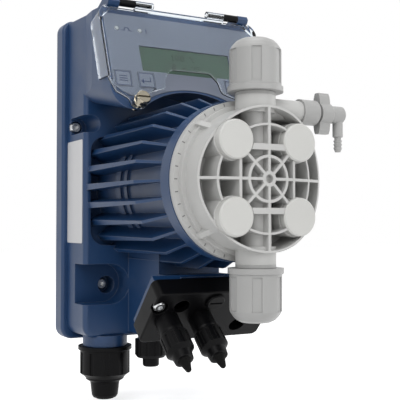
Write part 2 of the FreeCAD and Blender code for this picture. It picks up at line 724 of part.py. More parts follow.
def panel_overlay():
    """Membrane sheet on the leaning panel, with openings for the display, keys and lamps."""
    body = new_body("panel_overlay")
    sketch = sketch_on(body, "XY_Plane", frame=panel_frame())
    half = S.overlay_half
    corner = [(half, 1), (half, -50.8), (49, -55), (37, -60)]
    outline(sketch, [(-x, y) for x, y in corner] + [(x, y) for x, y in reversed(corner)])
    pad(body, sketch, S.overlay_thick)
    sketch = sketch_on(body, "XY_Plane", frame=panel_frame(-1))
    circle(sketch, 0, -S.panel_height / math.cos(math.radians(S.panel_lean.value)), S.overlay_arch)
    cut(body, sketch, S.overlay_thick + 2)
    sketch = sketch_on(body, "XY_Plane", frame=panel_frame(-1))
    outline(sketch, box_points(-S.lcd_half, S.lcd_half, S.lcd_low, S.lcd_top))
    for x in key_places():
        half_x = S.key_wide / 2 + S.key_gap
        half_y = S.key_tall / 2 + S.key_gap
        outline(sketch, box_points(x - half_x, x + half_x, S.key_mid - half_y, S.key_mid + half_y))
    for x in led_places():
        circle(sketch, x, LED_Y, LED_RADIUS + S.running)
    cut(body, sketch, S.overlay_thick + 2)


def display_module():
    """Two-line display: raised glass in the window, wider frame behind, standing on the board."""
    body = new_body("display_module")
    sketch = sketch_on(body, "XY_Plane", frame=panel_frame(-S.wall - S.board_gap))
    outline(sketch, box_points(-S.lcd_half - 3, S.lcd_half + 3, S.lcd_low - 0.6, S.lcd_top + 3.6))
    pad(body, sketch, S.board_gap)
    sketch = sketch_on(body, "XY_Plane", frame=panel_frame(-S.wall - 1))
    edge = S.running
    outline(sketch, box_points(-S.lcd_half + edge, S.lcd_half - edge, S.lcd_low + edge, S.lcd_top - edge))
    pad(body, sketch, S.wall + 0.6)


def circuit_board():
    """Main board behind the panel, with two legs that carry the key switches."""
    body = new_body("circuit_board")
    sketch = sketch_on(body, "XY_Plane", frame=panel_frame(-S.wall - S.board_gap - S.board_thick))
    inner = S.leg_inner + S.key_flange
    outer = S.leg_outer - 3
    low = S.leg_low + S.key_flange
    outline(sketch, [
        (-S.board_half, S.board_top), (-S.board_half, S.board_low), (-outer, S.leg_top - 1), (-outer, low),
        (-inner, low), (-inner, S.board_low), (inner, S.board_low), (inner, low), (outer, low),
        (outer, S.leg_top - 1), (S.board_half, S.board_low), (S.board_half, S.board_top)])
    for x, y in pillar_places():
        circle(sketch, x, y, 1.5)
    pad(body, sketch, S.board_thick)
    sketch = sketch_on(body, "XY_Plane", frame=panel_frame(-S.wall - S.board_gap))
    for x in key_places():
        outline(sketch, box_points(x - 2.5, x + 2.5, S.key_mid - 2.5, S.key_mid + 2.5))
    pad(body, sketch, S.switch_high)


def board_screws():
    """Four screws that hold the main board to the pillars behind the panel."""
    shapes = []
    frame = panel_frame()
    low = S.wall + S.board_gap + S.board_thick
    inward = frame.Rotation.multVec(Vector(0, 0, -1))
    for x, y in pillar_places():
        seat = frame.multVec(Vector(x.value, y.value, -low.value))
        shapes.append(
            screw(as_size(2.6), as_size(1.6), as_size(1.5), S.board_thick + S.board_gap, seat, inward))
    group("board_screws", shapes)


def panel_key(name, x):
    """Key cap with a rim behind the panel that keeps it in, and a foot over its switch."""
    body = new_body(name)
    top = S.overlay_thick + S.key_proud
    rim = S.wall + S.key_play + 0.5
    foot = S.wall + S.board_gap - S.switch_high - S.key_travel - 0.05
    sketch = sketch_on(body, "XY_Plane", frame=panel_frame(-S.wall - S.key_play))
    half_x = S.key_wide / 2
    half_y = S.key_tall / 2
    outline(sketch, box_points(x - half_x, x + half_x, S.key_mid - half_y, S.key_mid + half_y))
    pad(body, sketch, top + S.wall + S.key_play)
    frame = panel_frame()
    out = frame.Rotation.multVec(Vector(0, 0, 1))
    reach = (frame.Base * out) + top.value
    rounded(body, 0.2, lambda edge: abs(edge.CenterOfMass * out - reach) < 0.01)
    sketch = sketch_on(body, "XY_Plane", frame=panel_frame(-rim))
    half_y = half_y + S.key_flange
    outline(sketch, box_points(x - half_x, x + half_x, S.key_mid - half_y, S.key_mid + half_y))
    pad(body, sketch, 0.5)
    sketch = sketch_on(body, "XY_Plane", frame=panel_frame(-foot))
    circle(sketch, x, S.key_mid, 1.8)
    pad(body, sketch, foot - rim + 0.2)


def status_leds():
    """Two round lamps that stand on the board and show through the panel."""
    frame = panel_frame()
    out = frame.Rotation.multVec(Vector(0, 0, 1))
    low = -(S.wall + S.board_gap)
    shapes = []
    for x in led_places():
        base = frame.multVec(Vector(x, LED_Y, low.value))
        tall = S.wall + S.board_gap + S.overlay_thick + 0.5
        points = [(0, 0), (LED_RADIUS, 0), (LED_RADIUS, tall - 0.8), (LED_RADIUS * 0.7, tall), (0, tall)]
        shapes.append(revolve_shape(points, base, out))
    group("status_leds", shapes)


def driver_board():
    """Power board over the coil, flat on the casing's inner wall."""
    body = new_body("driver_board")
    sketch = sketch_on(body, "XZ_Plane", S.cavity_deep - S.board_thick)
    outline(sketch, box_points(-S.driver_half, S.driver_half, S.driver_low, S.driver_top))
    pad(body, sketch, S.board_thick)
    sketch = sketch_on(body, "XZ_Plane", S.cavity_deep - S.board_thick - 6)
    outline(sketch, box_points(-S.driver_half + 4, -S.driver_half + 22, S.driver_low + 4, S.driver_top - 4))
    pad(body, sketch, 6)


def terminal_block():
    """Row of mains clamps above the power gland's way in."""
    body = new_body("terminal_block")
    sketch = sketch_on(body, "XZ_Plane", S.cavity_deep - 9)
    outline(sketch, box_points(-S.cavity_half, -S.cavity_half + 12, -58, -42))
    pad(body, sketch, 9)
    sketch = sketch_on(body, "XZ_Plane", S.cavity_deep - 9)
    for step in range(3):
        circle(sketch, -S.cavity_half + 6, -55 + 5 * step, 1.8)
    cut(body, sketch, 4)


# Clear lid


def hinge_pins():
    """Two black hinge blocks with the pins that the lid's knuckles turn on."""
    y, z = hinge_axis()
    shapes = []
    for side in (-1, 1):
        length = S.block_out - S.knuckle_out - 0.1
        start = point(side * (S.knuckle_out + 0.1), -y, z)
        block = Part.makeCylinder(S.knuckle.value, length.value, start, Vector(side, 0, 0))
        start = point(side * (S.knuckle_in + 1), -y, z)
        reach = S.block_out + 5 - S.knuckle_in - 1
        pin = Part.makeCylinder(S.hinge_pin.value, reach.value, start, Vector(side, 0, 0))
        shapes.append(block.fuse(pin))
    group("hinge_pins", shapes)


def clear_lid():
    """Moulded clear cover: front plate with two lobes, side skirts, top lip and hinge knuckles."""
    body = new_body("clear_lid")
    inside = S.lid_front - S.lid_thick
    low = S.lid_screw_y - 4.2
    sketch = sketch_on(body, "XY_Plane", frame=panel_frame(-S.skirt_deep))
    half = S.lid_half
    outline(sketch, [
        (-half, S.lid_top), (-half, -48), (-55, -57), (-47, -61.5), (-45.8, low), (-36, low), (-34.5, -58.5),
        (-31, -55.5), (-20.5, -52), (-19, -44), (-14, -38), (14, -38), (19, -44), (20.5, -52), (31, -55.5),
        (34.5, -58.5), (36, low), (45.8, low), (47, -61.5), (55, -57), (half, -48), (half, S.lid_top)])
    pad(body, sketch, S.skirt_deep + S.lid_front)
    frame = panel_frame()
    out = frame.Rotation.multVec(Vector(0, 0, 1))
    high = frame.Base * out + S.lid_front.value
    middle = high - (S.skirt_deep.value + S.lid_front.value) / 2

    def normal(edge):
        return abs(edge.CenterOfMass * out - middle) < 0.01

    def top_corner(edge):
        return normal(edge) and edge.CenterOfMass.z > frame.Base.z and abs(edge.CenterOfMass.x) > 50

    rounded(body, 9, top_corner)
    rounded(body, 4, lambda edge: normal(edge) and edge.CenterOfMass.z < frame.Base.z)
    rounded(body, 1.2, lambda edge: abs(edge.CenterOfMass * out - high) < 0.01)
    sketch = sketch_on(body, "XY_Plane", frame=panel_frame(-S.skirt_deep - 1))
    inner = half - S.lid_thick
    top = S.lid_top - S.lid_thick
    outline(sketch, [
        (-inner, top - 8), (-inner + 8, top), (inner - 8, top), (inner, top - 8),
        (inner, -75), (-inner, -75)])
    cut(body, sketch, S.skirt_deep + 1 + inside)
    sketch = sketch_on(body, "XY_Plane", frame=panel_frame(-S.skirt_deep - 1))
    outline(sketch, box_points(-inner, inner, -60, S.lid_top + 1))
    cut(body, sketch, S.skirt_deep + 2)
    sketch = sketch_on(body, "YZ_Plane")
    slope = [frame.multVec(Vector(0, y, z)) for y, z in ((-70, 2.6), (-46, 2.6), (-38, -20), (-70, -20))]
    outline(sketch, [(corner.y, corner.z) for corner in slope])
    cut(body, sketch, 4 * half, both=True)
    sketch = sketch_on(body, "XY_Plane", frame=panel_frame(-S.skirt_deep - 1))
    for side in (-1, 1):
        outline(sketch, box_points(side * (S.knuckle_out + 0.1), side * (S.block_out + 9), 3.4, 12))
    cut(body, sketch, S.skirt_deep + S.lid_front + 2)
    holes = sketch_on(body, "XY_Plane", frame=panel_frame(0))
    for side in (-1, 1):
        circle(holes, side * S.lid_screw_x, S.lid_screw_y, 2.3)
    cut(body, holes, 8)
    y, z = hinge_axis()
    for side in (-1, 1):
        knuckle = sketch_on(body, "YZ_Plane", side * S.knuckle_in)
        circle(knuckle, y, z, S.knuckle)
        pad(body, knuckle, S.knuckle_out - S.knuckle_in, flip=side < 0)
    bore = sketch_on(body, "YZ_Plane")
    circle(bore, y, z, S.hinge_pin + S.running)
    cut(body, bore, 2 * S.knuckle_out + 2, both=True)


def lid_screw(name, side):
    """Captive knob-headed screw that closes the lid: slotted head, waist and shank."""
    frame = panel_frame()
    out = frame.Rotation.multVec(Vector(0, 0, 1))
    base = frame.multVec(Vector(side * S.lid_screw_x.value, S.lid_screw_y.value, S.lid_front.value))
    body = new_body(name)
    head = S.lid_screw_head
    sketch = sketch_on(body, "XZ_Plane")
    outline(sketch, [
        (0, -9.5), (1.6, -9.5), (2.1, -9), (2.1, 0), (head, 0), (head, 1),
        (head - 0.5, 1.4), (head - 0.5, 3.6),
        (head, 4), (head, 5.2), (head - 0.8, 6), (0, 6)])
    turn(body, sketch)
    slot = sketch_on(body, "XY_Plane", 4.6)
    outline(slot, box_points(-head - 1, head + 1, -0.6, 0.6))
    cut(body, slot, 3)
    body.Placement = Placement(base, Rotation(Vector(0, 0, 1), out))


# Connector plate and cable glands


def io_plate():
    """Thick black tray that carries the cable glands, with corner notches for its screws."""
    body = new_body("io_plate")
    sketch = sketch_on(body, "XY_Plane", frame=plate_frame(-S.plate_thick))
    half, long = S.plate_half, S.plate_long
    outline(sketch, box_points(-half, half, -long, 0))
    pad(body, sketch, S.plate_thick)
    frame = plate_frame()
    out = frame.Rotation.multVec(Vector(0, 0, 1))
    middle = frame.Base * out - S.plate_thick.value / 2
    rounded(body, 4, lambda edge: abs(edge.CenterOfMass * out - middle) < 0.01)
    rounded(body, 1, lambda edge: abs(edge.CenterOfMass * out - frame.Base * out) < 0.01)
    sketch = sketch_on(body, "XY_Plane", frame=plate_frame(-S.plate_thick - 1))
    outline(sketch, box_points(-half + 12, half - 12, -long + 9, -4))
    cut(body, sketch, S.plate_thick - S.plate_wall + 1)
    sketch = sketch_on(body, "XY_Plane", frame=plate_frame(-S.plate_thick + 2))
    for x, y, radius in plate_holes():
        circle(sketch, x, y, radius)
    cut(body, sketch, S.plate_thick)
    for x, y in plate_screw_places():
        notch = sketch_on(body, "XY_Plane", frame=plate_frame(-3))
        circle(notch, x, y, 5)
        cut(body, notch, 5)
    shanks = sketch_on(body, "XY_Plane", frame=plate_frame(-S.plate_thick - 1))
    for x, y in plate_screw_places():
        circle(shanks, x, y, S.screw_shank + 0.1)
    cut(body, shanks, S.plate_thick + 2)


def gland_places():
    return [(-30, -22), (-7.5, -21.5)]


def plate_holes():
    """Ways through the plate: two glands, one slotted plug and two open sockets."""
    holes = [(x, y, S.gland_hole) for x, y in gland_places()]
    return holes + [(-23.4, -11.2, as_size(5.1)), (-2, -8, as_size(4.6)), (22.8, -30.8, as_size(5.5))]


def plate_screw_places():
    x = S.plate_half - 4.7
    return [(-x, -11.8), (x, -11.8), (0, -S.plate_long + 4.5)]


def io_gasket():
    """Flat seal between the connector plate and the casing's flange."""
    body = new_body("io_gasket")
    sketch = sketch_on(body, "XY_Plane", frame=plate_frame(-S.plate_thick - S.io_seal))
    half = S.plate_half - 2
    outline(sketch, box_points(-half, half, -S.plate_long + 2, -2))
    outline(sketch, box_points(-half + 10, half - 10, -S.plate_long + 9, -7))
    for x, y in plate_screw_places():
        circle(sketch, x, y, S.screw_shank + 0.1)
    pad(body, sketch, S.io_seal)


def io_plate_screws():
    frame = plate_frame()
    out = frame.Rotation.multVec(Vector(0, 0, 1))
    shapes = []
    for x, y in plate_screw_places():
        seat = frame.multVec(Vector(as_size(x).value, as_size(y).value, -3))
        long = S.plate_thick + S.io_seal + S.plate_seat - 3.5
        shapes.append(screw(S.screw_head, as_size(2.6), S.screw_shank, long, seat, out))
    group("io_plate_screws", shapes)


def on_plate(name, points, x, y, lift=0):
    """A round piece that stands square on the connector plate."""
    body = new_body(name)
    sketch = sketch_on(body, "XZ_Plane")
    outline(sketch, points)
    turn(body, sketch)
    frame = plate_frame()
    out = frame.Rotation.multVec(Vector(0, 0, 1))
    body.Placement = Placement(frame.multVec(Vector(x, y, lift)), Rotation(Vector(0, 0, 1), out))
    return body


def flutes(body, radius, deep, low, high, count, wide):
    """Grip: shallow flats cut into a round body between two heights, repeated about its axis."""
    sketch = sketch_on(body, "XY_Plane", low)
    outline(sketch, box_points(radius - deep, radius + 4, -wide / 2, wide / 2))
    groove = cut(body, sketch, high - low)
    doc.recompute()
    around(body, [groove], count, 360, "Z_Axis")


def signal_glands():
    """Two small cable glands: threaded body, fluted nut and a split plug in each."""
    bodies, plugs = [], []
    frame = plate_frame()
    out = frame.Rotation.multVec(Vector(0, 0, 1))
    bore = S.gland_body - 3.4
    for index, (x, y) in enumerate(gland_places()):
        base = frame.multVec(Vector(x, y, 0))
        bodies.append(revolve_shape([
            (bore, -7), (S.gland_hole - 0.1, -7), (S.gland_hole - 0.1, 0), (S.gland_body, 0),
            (S.gland_body, 11),
            (S.gland_body - 0.4, 13), (S.gland_body - 1.4, 13), (S.gland_body - 1.4, 22), (bore, 22)],
            base, out))
        plugs.append(revolve_shape([
            (0, 15), (bore - 0.05, 15), (bore - 0.05, 31), (3.4, 31.6),
            (1.6, 38), (1, 38.6), (0, 38.6)], base, out))
        name = "signal_gland_nut_left" if index == 0 else "signal_gland_nut_right"
        cavity = S.gland_body - 1.4 + S.running
        nut = on_plate(name, [
            (cavity, 13.2), (S.gland_nut, 13.2), (S.gland_nut, 24), (S.gland_nut - 2, 26), (6.2, 26.5),
            (5.6, 31), (bore + S.running, 31), (bore + S.running, 22.6), (cavity, 22.6)], x, y)
        flutes(nut, S.gland_nut, 0.6, 14.5, 24, 12, as_size(1.6))
    group("signal_gland_bodies", bodies)
    group("signal_gland_plugs", plugs)


def blanking_plug():
    """Slotted plug that closes a spare socket of the connector plate."""
    plug = on_plate("blanking_plug", [
        (0, -3), (4.5, -3), (4.5, 0), (6, 0), (6, 1.2), (5.4, 1.8), (0, 1.8)], -2, -8)
    slot = sketch_on(plug, "XY_Plane", 1)
    outline(slot, box_points(-4.2, 4.2, -0.7, 0.7))
    cut(plug, slot, 2)


def connector_cap():
    """Round black cap that hangs under the connector box."""
    low = -S.box_low
    cap = turned("connector_cap", [
        (0, low + 4), (S.socket_radius, low + 4), (S.socket_radius, low + 14),
        (S.socket_radius - 1.5, low + 16),
        (5.5, low + 16), (5.5, low + 21), (4.8, low + 22), (0, low + 22)],
        DOWN, S.socket_x, S.socket_deep, 0)
    flutes(cap, S.socket_radius, 0.5, low + 5, low + 14, 14, as_size(1.8))


def power_gland():
    """Large gland for the mains cable: fluted nut over the casing's spigot, and its rubber seal."""
    low = -S.power_low
    bore = S.power_spigot + S.running
    nut = turned("power_gland_nut", [
        (bore, low + 0.2), (18.1, low + 0.2), (18.1, low + 2.5), (S.power_nut, low + 3),
        (S.power_nut, low + 18.5),
        (14.6, low + 20), (13, low + 21.6), (12.8, low + 22.6), (9.9, low + 24.5), (8.8, low + 33.5),
        (7.8, low + 35), (S.power_seal + S.running, low + 35), (S.power_seal + S.running, low + 15.2),
        (bore, low + 15.2)], DOWN, S.power_x, S.power_deep, 0)
    flutes(nut, S.power_nut, 0.8, low + 4, low + 18.5, 10, as_size(3))
    seal = S.power_seal
    turned("power_gland_seal", [
        (seal - 3, low + 15.2), (seal, low + 15.2), (seal, low + 35.2), (seal - 0.6, low + 35.8),
        (seal - 3, low + 35.8)], DOWN, S.power_x, S.power_deep, 0)


# Solenoid drive, from the wall side forward


def solenoid():
    back, front = S.yoke_back, S.yoke_front
    shell = S.yoke_outer - S.yoke_wall
    plate = front - 5
    turned("solenoid_yoke", [
        (0, back), (S.yoke_outer, back), (S.yoke_outer, plate), (shell, plate),
        (shell, back + 4), (0, back + 4)],
        FRONT)
    pole_bore = S.shaft + 0.3
    turned("pole_piece", [
        (pole_bore, S.pole_face), (S.armature, S.pole_face), (S.armature, plate), (S.yoke_outer, plate),
        (S.yoke_outer, front), (pole_bore, front)], FRONT)
    tube = S.armature + 0.4
    outer = tube + S.bobbin_wall
    rim = S.coil_outer + 2
    turned("bobbin", [
        (tube, back + 4), (rim, back + 4), (rim, back + 6), (outer, back + 6), (outer, plate - 2),
        (rim, plate - 2), (rim, plate), (tube, plate)], FRONT)
    turned("coil", [
        (outer, back + 6), (S.coil_outer, back + 6), (S.coil_outer, plate - 2), (outer, plate - 2)], FRONT)
    turned("stroke_stop", [
        (0, back + 4), (S.armature - 2, back + 4), (S.armature - 2, S.armature_back - 0.1),
        (0, S.armature_back - 0.1)], FRONT)
    turned("armature", [
        (S.shaft, S.armature_back), (S.armature, S.armature_back), (S.armature, S.armature_front),
        (S.shaft, S.armature_front)], FRONT)
    turned("drive_shaft", [
        (0, S.armature_back), (S.shaft, S.armature_back), (S.shaft, S.shaft_front - 1),
        (S.shaft - 1, S.shaft_front),
        (0, S.shaft_front)], FRONT)
    inner = S.shaft + S.slip
    turned("guide_bush", [
        (inner, front), (S.bush_outer, front), (S.bush_outer, S.web_front), (S.bush_outer + 2, S.web_front),
        (S.bush_outer + 2, S.web_front + 2), (inner, S.web_front + 2)], FRONT)
    turned("spring_seat", [
        (S.shaft, S.seat_deep), (9.5, S.seat_deep), (9.5, S.seat_deep + 3), (S.shaft, S.seat_deep + 3)],
        FRONT)


def return_spring():
    """Coil spring that pushes the spring seat and the diaphragm's centre back from the bush."""
    start = S.web_front.value + 2 + 0.7
    length = S.seat_deep.value - start - 0.7
    helix = Part.makeHelix(length / 4.5, length, S.spring_radius.value)
    centre = Vector(S.spring_radius.value, 0, 0)
    wire = Part.Wire(Part.makeCircle(S.spring_wire.value, centre, Vector(0, 1, 0)))
    spring = Part.Wire(helix.Edges).makePipeShell([wire], True, True)
    spring.Placement = Placement(Vector(0, -start, 0), FRONT)
    group("return_spring", [spring])


def diaphragm():
    """Dished membrane: its rim is clamped under the pump head, its hub is screwed to the shaft."""
    front = S.drum_front
    hub = S.seat_deep + 3
    turned("diaphragm", [
        (S.shaft, hub), (9, hub), (10, hub + 1.6), (S.diaphragm - 6, front - S.diaphragm_thick + 0.4),
        (S.diaphragm, front - S.diaphragm_thick), (S.diaphragm, front), (S.diaphragm - 6.5, front - 0.2),
        (9, hub + 5), (0, hub + 5), (0, S.shaft_front), (S.shaft - 1, S.shaft_front),
        (S.shaft, S.shaft_front - 1)],
        FRONT)


# Pump head


def chord(radius, away):
    """Half the length of a chord at a distance from the centre."""
    radius, away = as_size(radius), as_size(away)
    return Size(math.sqrt(radius.value ** 2 - away.value ** 2), f"sqrt({radius.text} ^ 2 - {away.text} ^ 2)")


def head_plate(body):
    """Flange, round wall and back plate of the head, with the rings of its rib pattern."""
    back = S.drum_front
    floor = back + S.head_plate
    inner = S.head_wall - S.wall_thick
    sketch = sketch_on(body, "XY_Plane")
    profile = [
        (0, back), (S.head_flange, back), (S.head_flange, back + S.flange_step),
        (S.band, back + S.flange_step),
        (S.band, back + S.flange_step + 3.5), (S.head_wall, back + S.flange_step + 3.5),
        (S.head_wall, S.head_nose), (inner, S.head_nose), (inner, floor), (S.rib_ring, floor),
        (S.rib_ring, S.head_nose), (S.rib_ring - S.wall_thick, S.head_nose),
        (S.rib_ring - S.wall_thick, floor),
        (S.rib_hub, floor), (S.rib_hub, S.head_nose), (S.rib_hub - S.rib_thin, S.head_nose),
        (S.rib_hub - S.rib_thin, floor), (S.centre_boss, floor), (S.centre_boss, S.head_nose),
        (0, S.head_nose)]
    outline(sketch, [(radius, -deep) for radius, deep in profile])
    turn(body, sketch)


def head_ribs(body):
    """Crossing ribs between the back plate and the domed front, and the four bolt bosses."""
    floor = S.drum_front + S.head_plate - 0.5
    tall = S.head_nose - floor
    wall = S.head_wall - S.wall_thick / 2
    ring = S.rib_ring - S.wall_thick / 2
    thin = S.rib_thin / 2
    upright = [(as_size(0), thin, wall)] + [(side * S.rib_side, thin, ring) for side in (-1, 1)]
    level = [(as_size(0), thin, wall)] + [(side * S.rib_side, S.rib_mid / 2, ring) for side in (-1, 1)]
    for rib_set, standing in ((upright, True), (level, False)):
        for middle, half, reach in rib_set:
            long = chord(reach, abs(middle.value) + half.value)
            across = (middle - half, middle + half)
            spans = (*across, -long, long) if standing else (-long, long, *across)
            sketch = sketch_on(body, "XZ_Plane", floor)
            outline(sketch, box_points(*spans))
            pad(body, sketch, tall)
    corner = S.bolt_pitch / 2
    sketch = sketch_on(body, "XZ_Plane", floor)
    slant = S.rib_thin * math.sqrt(0.5) / 2
    outline(sketch, [
        (-slant + 2, slant + 2), (slant + 2, -slant + 2), (corner + slant, corner - slant),
        (corner - slant, corner + slant)])
    rib = pad(body, sketch, tall)
    sketch = sketch_on(body, "XZ_Plane", floor)
    circle(sketch, corner, corner, S.bolt_boss)
    boss = pad(body, sketch, S.boss_front - floor)
    doc.recompute()
    around(body, [rib, boss], 4, 360, "Y_Axis")
    sketch = sketch_on(body, "XZ_Plane", S.boss_front)
    for side in (-1, 1):
        for level in (-1, 1):
            circle(sketch, side * corner, level * corner, S.cap_radius + S.running)
    cut(body, sketch, S.head_nose)


def head_dome(body):
    """Turns the ribs' fronts to one wide dome about an upright axis."""
    sketch = sketch_on(body, "XZ_Plane", S.head_nose - S.dome)
    outline(sketch, box_points(S.dome, S.dome + 20, -S.head_flange, S.head_flange))
    turn(body, sketch, remove=True)


def head_channel(body):
    """Upright tube with a neck at each end, and the boss of the priming valve."""
    sketch = sketch_on(body, "XY_Plane", -S.neck_end)
    circle(sketch, 0, -S.valve_deep, S.channel)
    pad(body, sketch, 2 * S.neck_end)
    for side in (-1, 1):
        sketch = sketch_on(body, "XY_Plane", side * (S.head_wall - 3.5))
        circle(sketch, 0, -S.valve_deep, S.neck)
        pad(body, sketch, S.neck_end - S.head_wall + 3.5, flip=side < 0)
    sketch = sketch_on(body, "YZ_Plane")
    circle(sketch, -S.valve_deep, S.prime_height, S.prime_boss)
    pad(body, sketch, S.prime_boss_end)


def head_gussets(body):
    """Four small webs between the flange and the round wall."""
    low = S.drum_front + S.flange_step - 1
    slanted = Placement(Vector(0, 0, 0), Rotation(Vector(1, 0, 0), 45))
    sketch = sketch_on(body, "YZ_Plane", frame=slanted)
    outline(sketch, [
        (-low, S.head_wall - 1), (-low, S.band + 2), (-low - 4, S.band + 1.5), (-low - 14, S.head_wall - 1)])
    web = pad(body, sketch, S.rib_mid, both=True)
    doc.recompute()
    around(body, [web], 4, 360, "Y_Axis")


def head_bores(body):
    """Chamber, valve bores, ports, bolt holes and the needle's bore."""
    back = S.drum_front
    sketch = sketch_on(body, "XZ_Plane", back - 1)
    circle(sketch, 0, 0, S.diaphragm - 4)
    cut(body, sketch, S.chamber_cut + 1)
    for side in (-1, 1):
        sketch = sketch_on(body, "XY_Plane", side * S.cartridge_end)
        circle(sketch, 0, -S.valve_deep, S.cartridge)
        feature = cut(body, sketch, S.neck_end)
        feature.Reversed = side > 0
        sketch = sketch_on(body, "XY_Plane", side * (S.cartridge_end - 5))
        circle(sketch, 0, -S.valve_deep, S.port)
        feature = cut(body, sketch, 6)
        feature.Reversed = side > 0
    sketch = sketch_on(body, "XZ_Plane", back)
    for side in (-1, 1):
        circle(sketch, 0, side * (S.cartridge_end - 2.6), S.port)
    cut(body, sketch, S.valve_deep - back)
    corner = S.bolt_pitch / 2
    for radius, start in ((S.bolt_shank + 0.2, back - 1), (S.bolt_head + 0.4, back + S.head_plate)):
        sketch = sketch_on(body, "XZ_Plane", start)
        for side in (-1, 1):
            for level in (-1, 1):
                circle(sketch, side * corner, level * corner, radius)
        cut(body, sketch, S.head_nose)
    sketch = sketch_on(body, "YZ_Plane", S.cartridge - 1)
    circle(sketch, -S.valve_deep, S.prime_height, S.port)
    cut(body, sketch, S.prime_boss_end)
    sketch = sketch_on(body, "YZ_Plane", S.neck + 3)
    circle(sketch, -S.valve_deep, S.prime_height, S.prime_stem + S.slip)
    cut(body, sketch, S.prime_boss_end)
    sketch = sketch_on(body, "XZ_Plane", S.head_nose - 3)
    circle(sketch, 0, 0, 2.4)
    cut(body, sketch, 5)


def pump_head():
    """Moulded head: flange, domed rib grid, bolt bosses, upright channel and priming boss."""
    body = new_body("pump_head")
    head_plate(body)
    head_ribs(body)
    head_dome(body)
    head_channel(body)
    head_gussets(body)
    head_bores(body)


def head_bolts():
    """Four cap screws that clamp the head and the diaphragm's rim to the casing."""
    shapes = []
    corner = S.bolt_pitch / 2
    seat = S.drum_front + S.head_plate
    deep = seat - S.web_front - 9
    for side in (-1, 1):
        for level in (-1, 1):
            base = point(side * corner, seat, level * corner)
            shapes.append(screw(S.bolt_head, S.bolt_shank * 2, S.bolt_shank, deep, base, Vector(0, -1, 0)))
    group("head_bolts", shapes)


def bolt_caps():
    """Round caps that press into the bosses over the bolts."""
    shapes = []
    corner = S.bolt_pitch / 2
    base_deep = S.boss_front
    plug = S.bolt_head + 0.3
    for side in (-1, 1):
        for level in (-1, 1):
            base = point(side * corner, base_deep, level * corner)
            shapes.append(revolve_shape([
                (0, -1), (plug - 1.6, -1), (plug - 1.6, -6), (plug, -6), (plug, 0), (S.cap_radius, 0),
                (S.cap_radius, S.cap_thick - 0.8), (S.cap_radius - 0.8, S.cap_thick), (0, S.cap_thick)],
                base, Vector(0, -1, 0)))
    group("bolt_caps", shapes)


# Valves


def valve_body(name, sign, seat_at):
    """Cartridge with a seat, a guide for the ball, and a threaded spigot for the union nut.

    Heights are measured from the head's axis outward; seat_at is the height of the seat's edge.
    """
    rise = math.sqrt(S.ball.value ** 2 - S.seat.value ** 2) + math.sqrt(S.ball.value ** 2 - S.flow.value ** 2)
    room = S.ball_lift + rise + 0.04
    guide = S.ball + S.ball_clear
    near, far = (S.seat, S.flow) if sign > 0 else (S.flow, S.seat)
    body = new_body(name)
    sketch = sketch_on(body, "XZ_Plane")
    outline(sketch, [
        (near, S.cartridge_end), (S.cartridge - S.slip, S.cartridge_end), (S.cartridge - S.slip, S.neck_end),
        (S.neck, S.neck_end), (S.neck, S.neck_end + S.collar), (S.spigot, S.neck_end + S.collar),
        (S.spigot, S.spigot_end), (far, S.spigot_end), (far, seat_at + room), (guide, seat_at + room),
        (guide, seat_at), (near, seat_at)])
    turn(body, sketch)
    if sign > 0:
        side_way = sketch_on(body, "YZ_Plane")
        circle(side_way, 0, S.prime_height, 1.5)
        cut(body, side_way, S.cartridge + 1)
    return place(body, UP if sign > 0 else DOWN, 0, S.valve_deep, 0)


def valve_ball(name, sign, seat_at):
    """Ball that rests on its seat by its own weight and lifts to let the liquid up."""
    rise = math.sqrt(S.ball.value ** 2 - S.seat.value ** 2) + 0.02
    hang = math.sqrt(S.ball.value ** 2 - S.flow.value ** 2) + 0.02
    ball = doc.addObject("Part::Sphere", name)
    ball.Label = name
    bind(ball, Radius=S.ball)
    height = seat_at + rise if sign > 0 else -(seat_at + hang + S.ball_lift)
    ball.Placement = Placement(point(0, S.valve_deep, height), Rotation())
    bind(ball, Placement__Base__y=-S.valve_deep)
    NODES.append(ball)


def union_nut(name, sign):
    """Fluted union nut that pulls the hose's ferrule onto the valve's spigot."""
    low = S.neck_end + S.collar + 0.1
    top = low + S.nut_long
    bore = S.spigot + S.slip
    inside = S.spigot_end + 0.6
    hole = (S.hose_hole if sign > 0 else S.suction_hole) + 0.2
    body = turned(name, [
        (bore, low), (S.nut_rim, low), (S.nut_rim, low + 3), (S.nut_body, low + 3.6),
        (S.nut_body, low + 23.5), (S.nut_body - 0.6, low + 24.8), (S.nut_body - 2, low + 26.9),
        (S.nut_end + 1.7, low + 28.7),
        (S.nut_end - 1, top), (hole, top), (hole, inside + 9), (bore - 2, inside + 4), (bore, inside)],
        UP if sign > 0 else DOWN, 0, S.valve_deep, 0)
    flutes(body, S.nut_body, S.nut_flute, low + 4.6, low + 23.5, 6, as_size(5.4))


def ferrule(name, sign):
    """Cone that the union nut squeezes round the hose's end."""
    start = S.spigot_end
    hole = S.hose_hole if sign > 0 else S.suction_hole
    turned(name, [
        (hole, start), (S.spigot - 2.6, start), (S.spigot - 2.6, start + 3), (hole + 1.1, start + 8),
        (hole, start + 8)], UP if sign > 0 else DOWN, 0, S.valve_deep, 0)


# Priming valve


def priming_body():
    """Guide pressed into the head's boss, with a collar; the needle runs in it."""
    bore = S.spindle + S.slip
    turned("priming_body", [
        (bore, S.neck + 6), (S.prime_stem, S.neck + 6), (S.prime_stem, S.prime_boss_end),
        (S.prime_sleeve, S.prime_boss_end), (S.prime_sleeve, S.prime_sleeve_end - 1),
        (S.prime_sleeve - 1, S.prime_sleeve_end), (bore, S.prime_sleeve_end)],
        RIGHT, 0, S.valve_deep, S.prime_height)


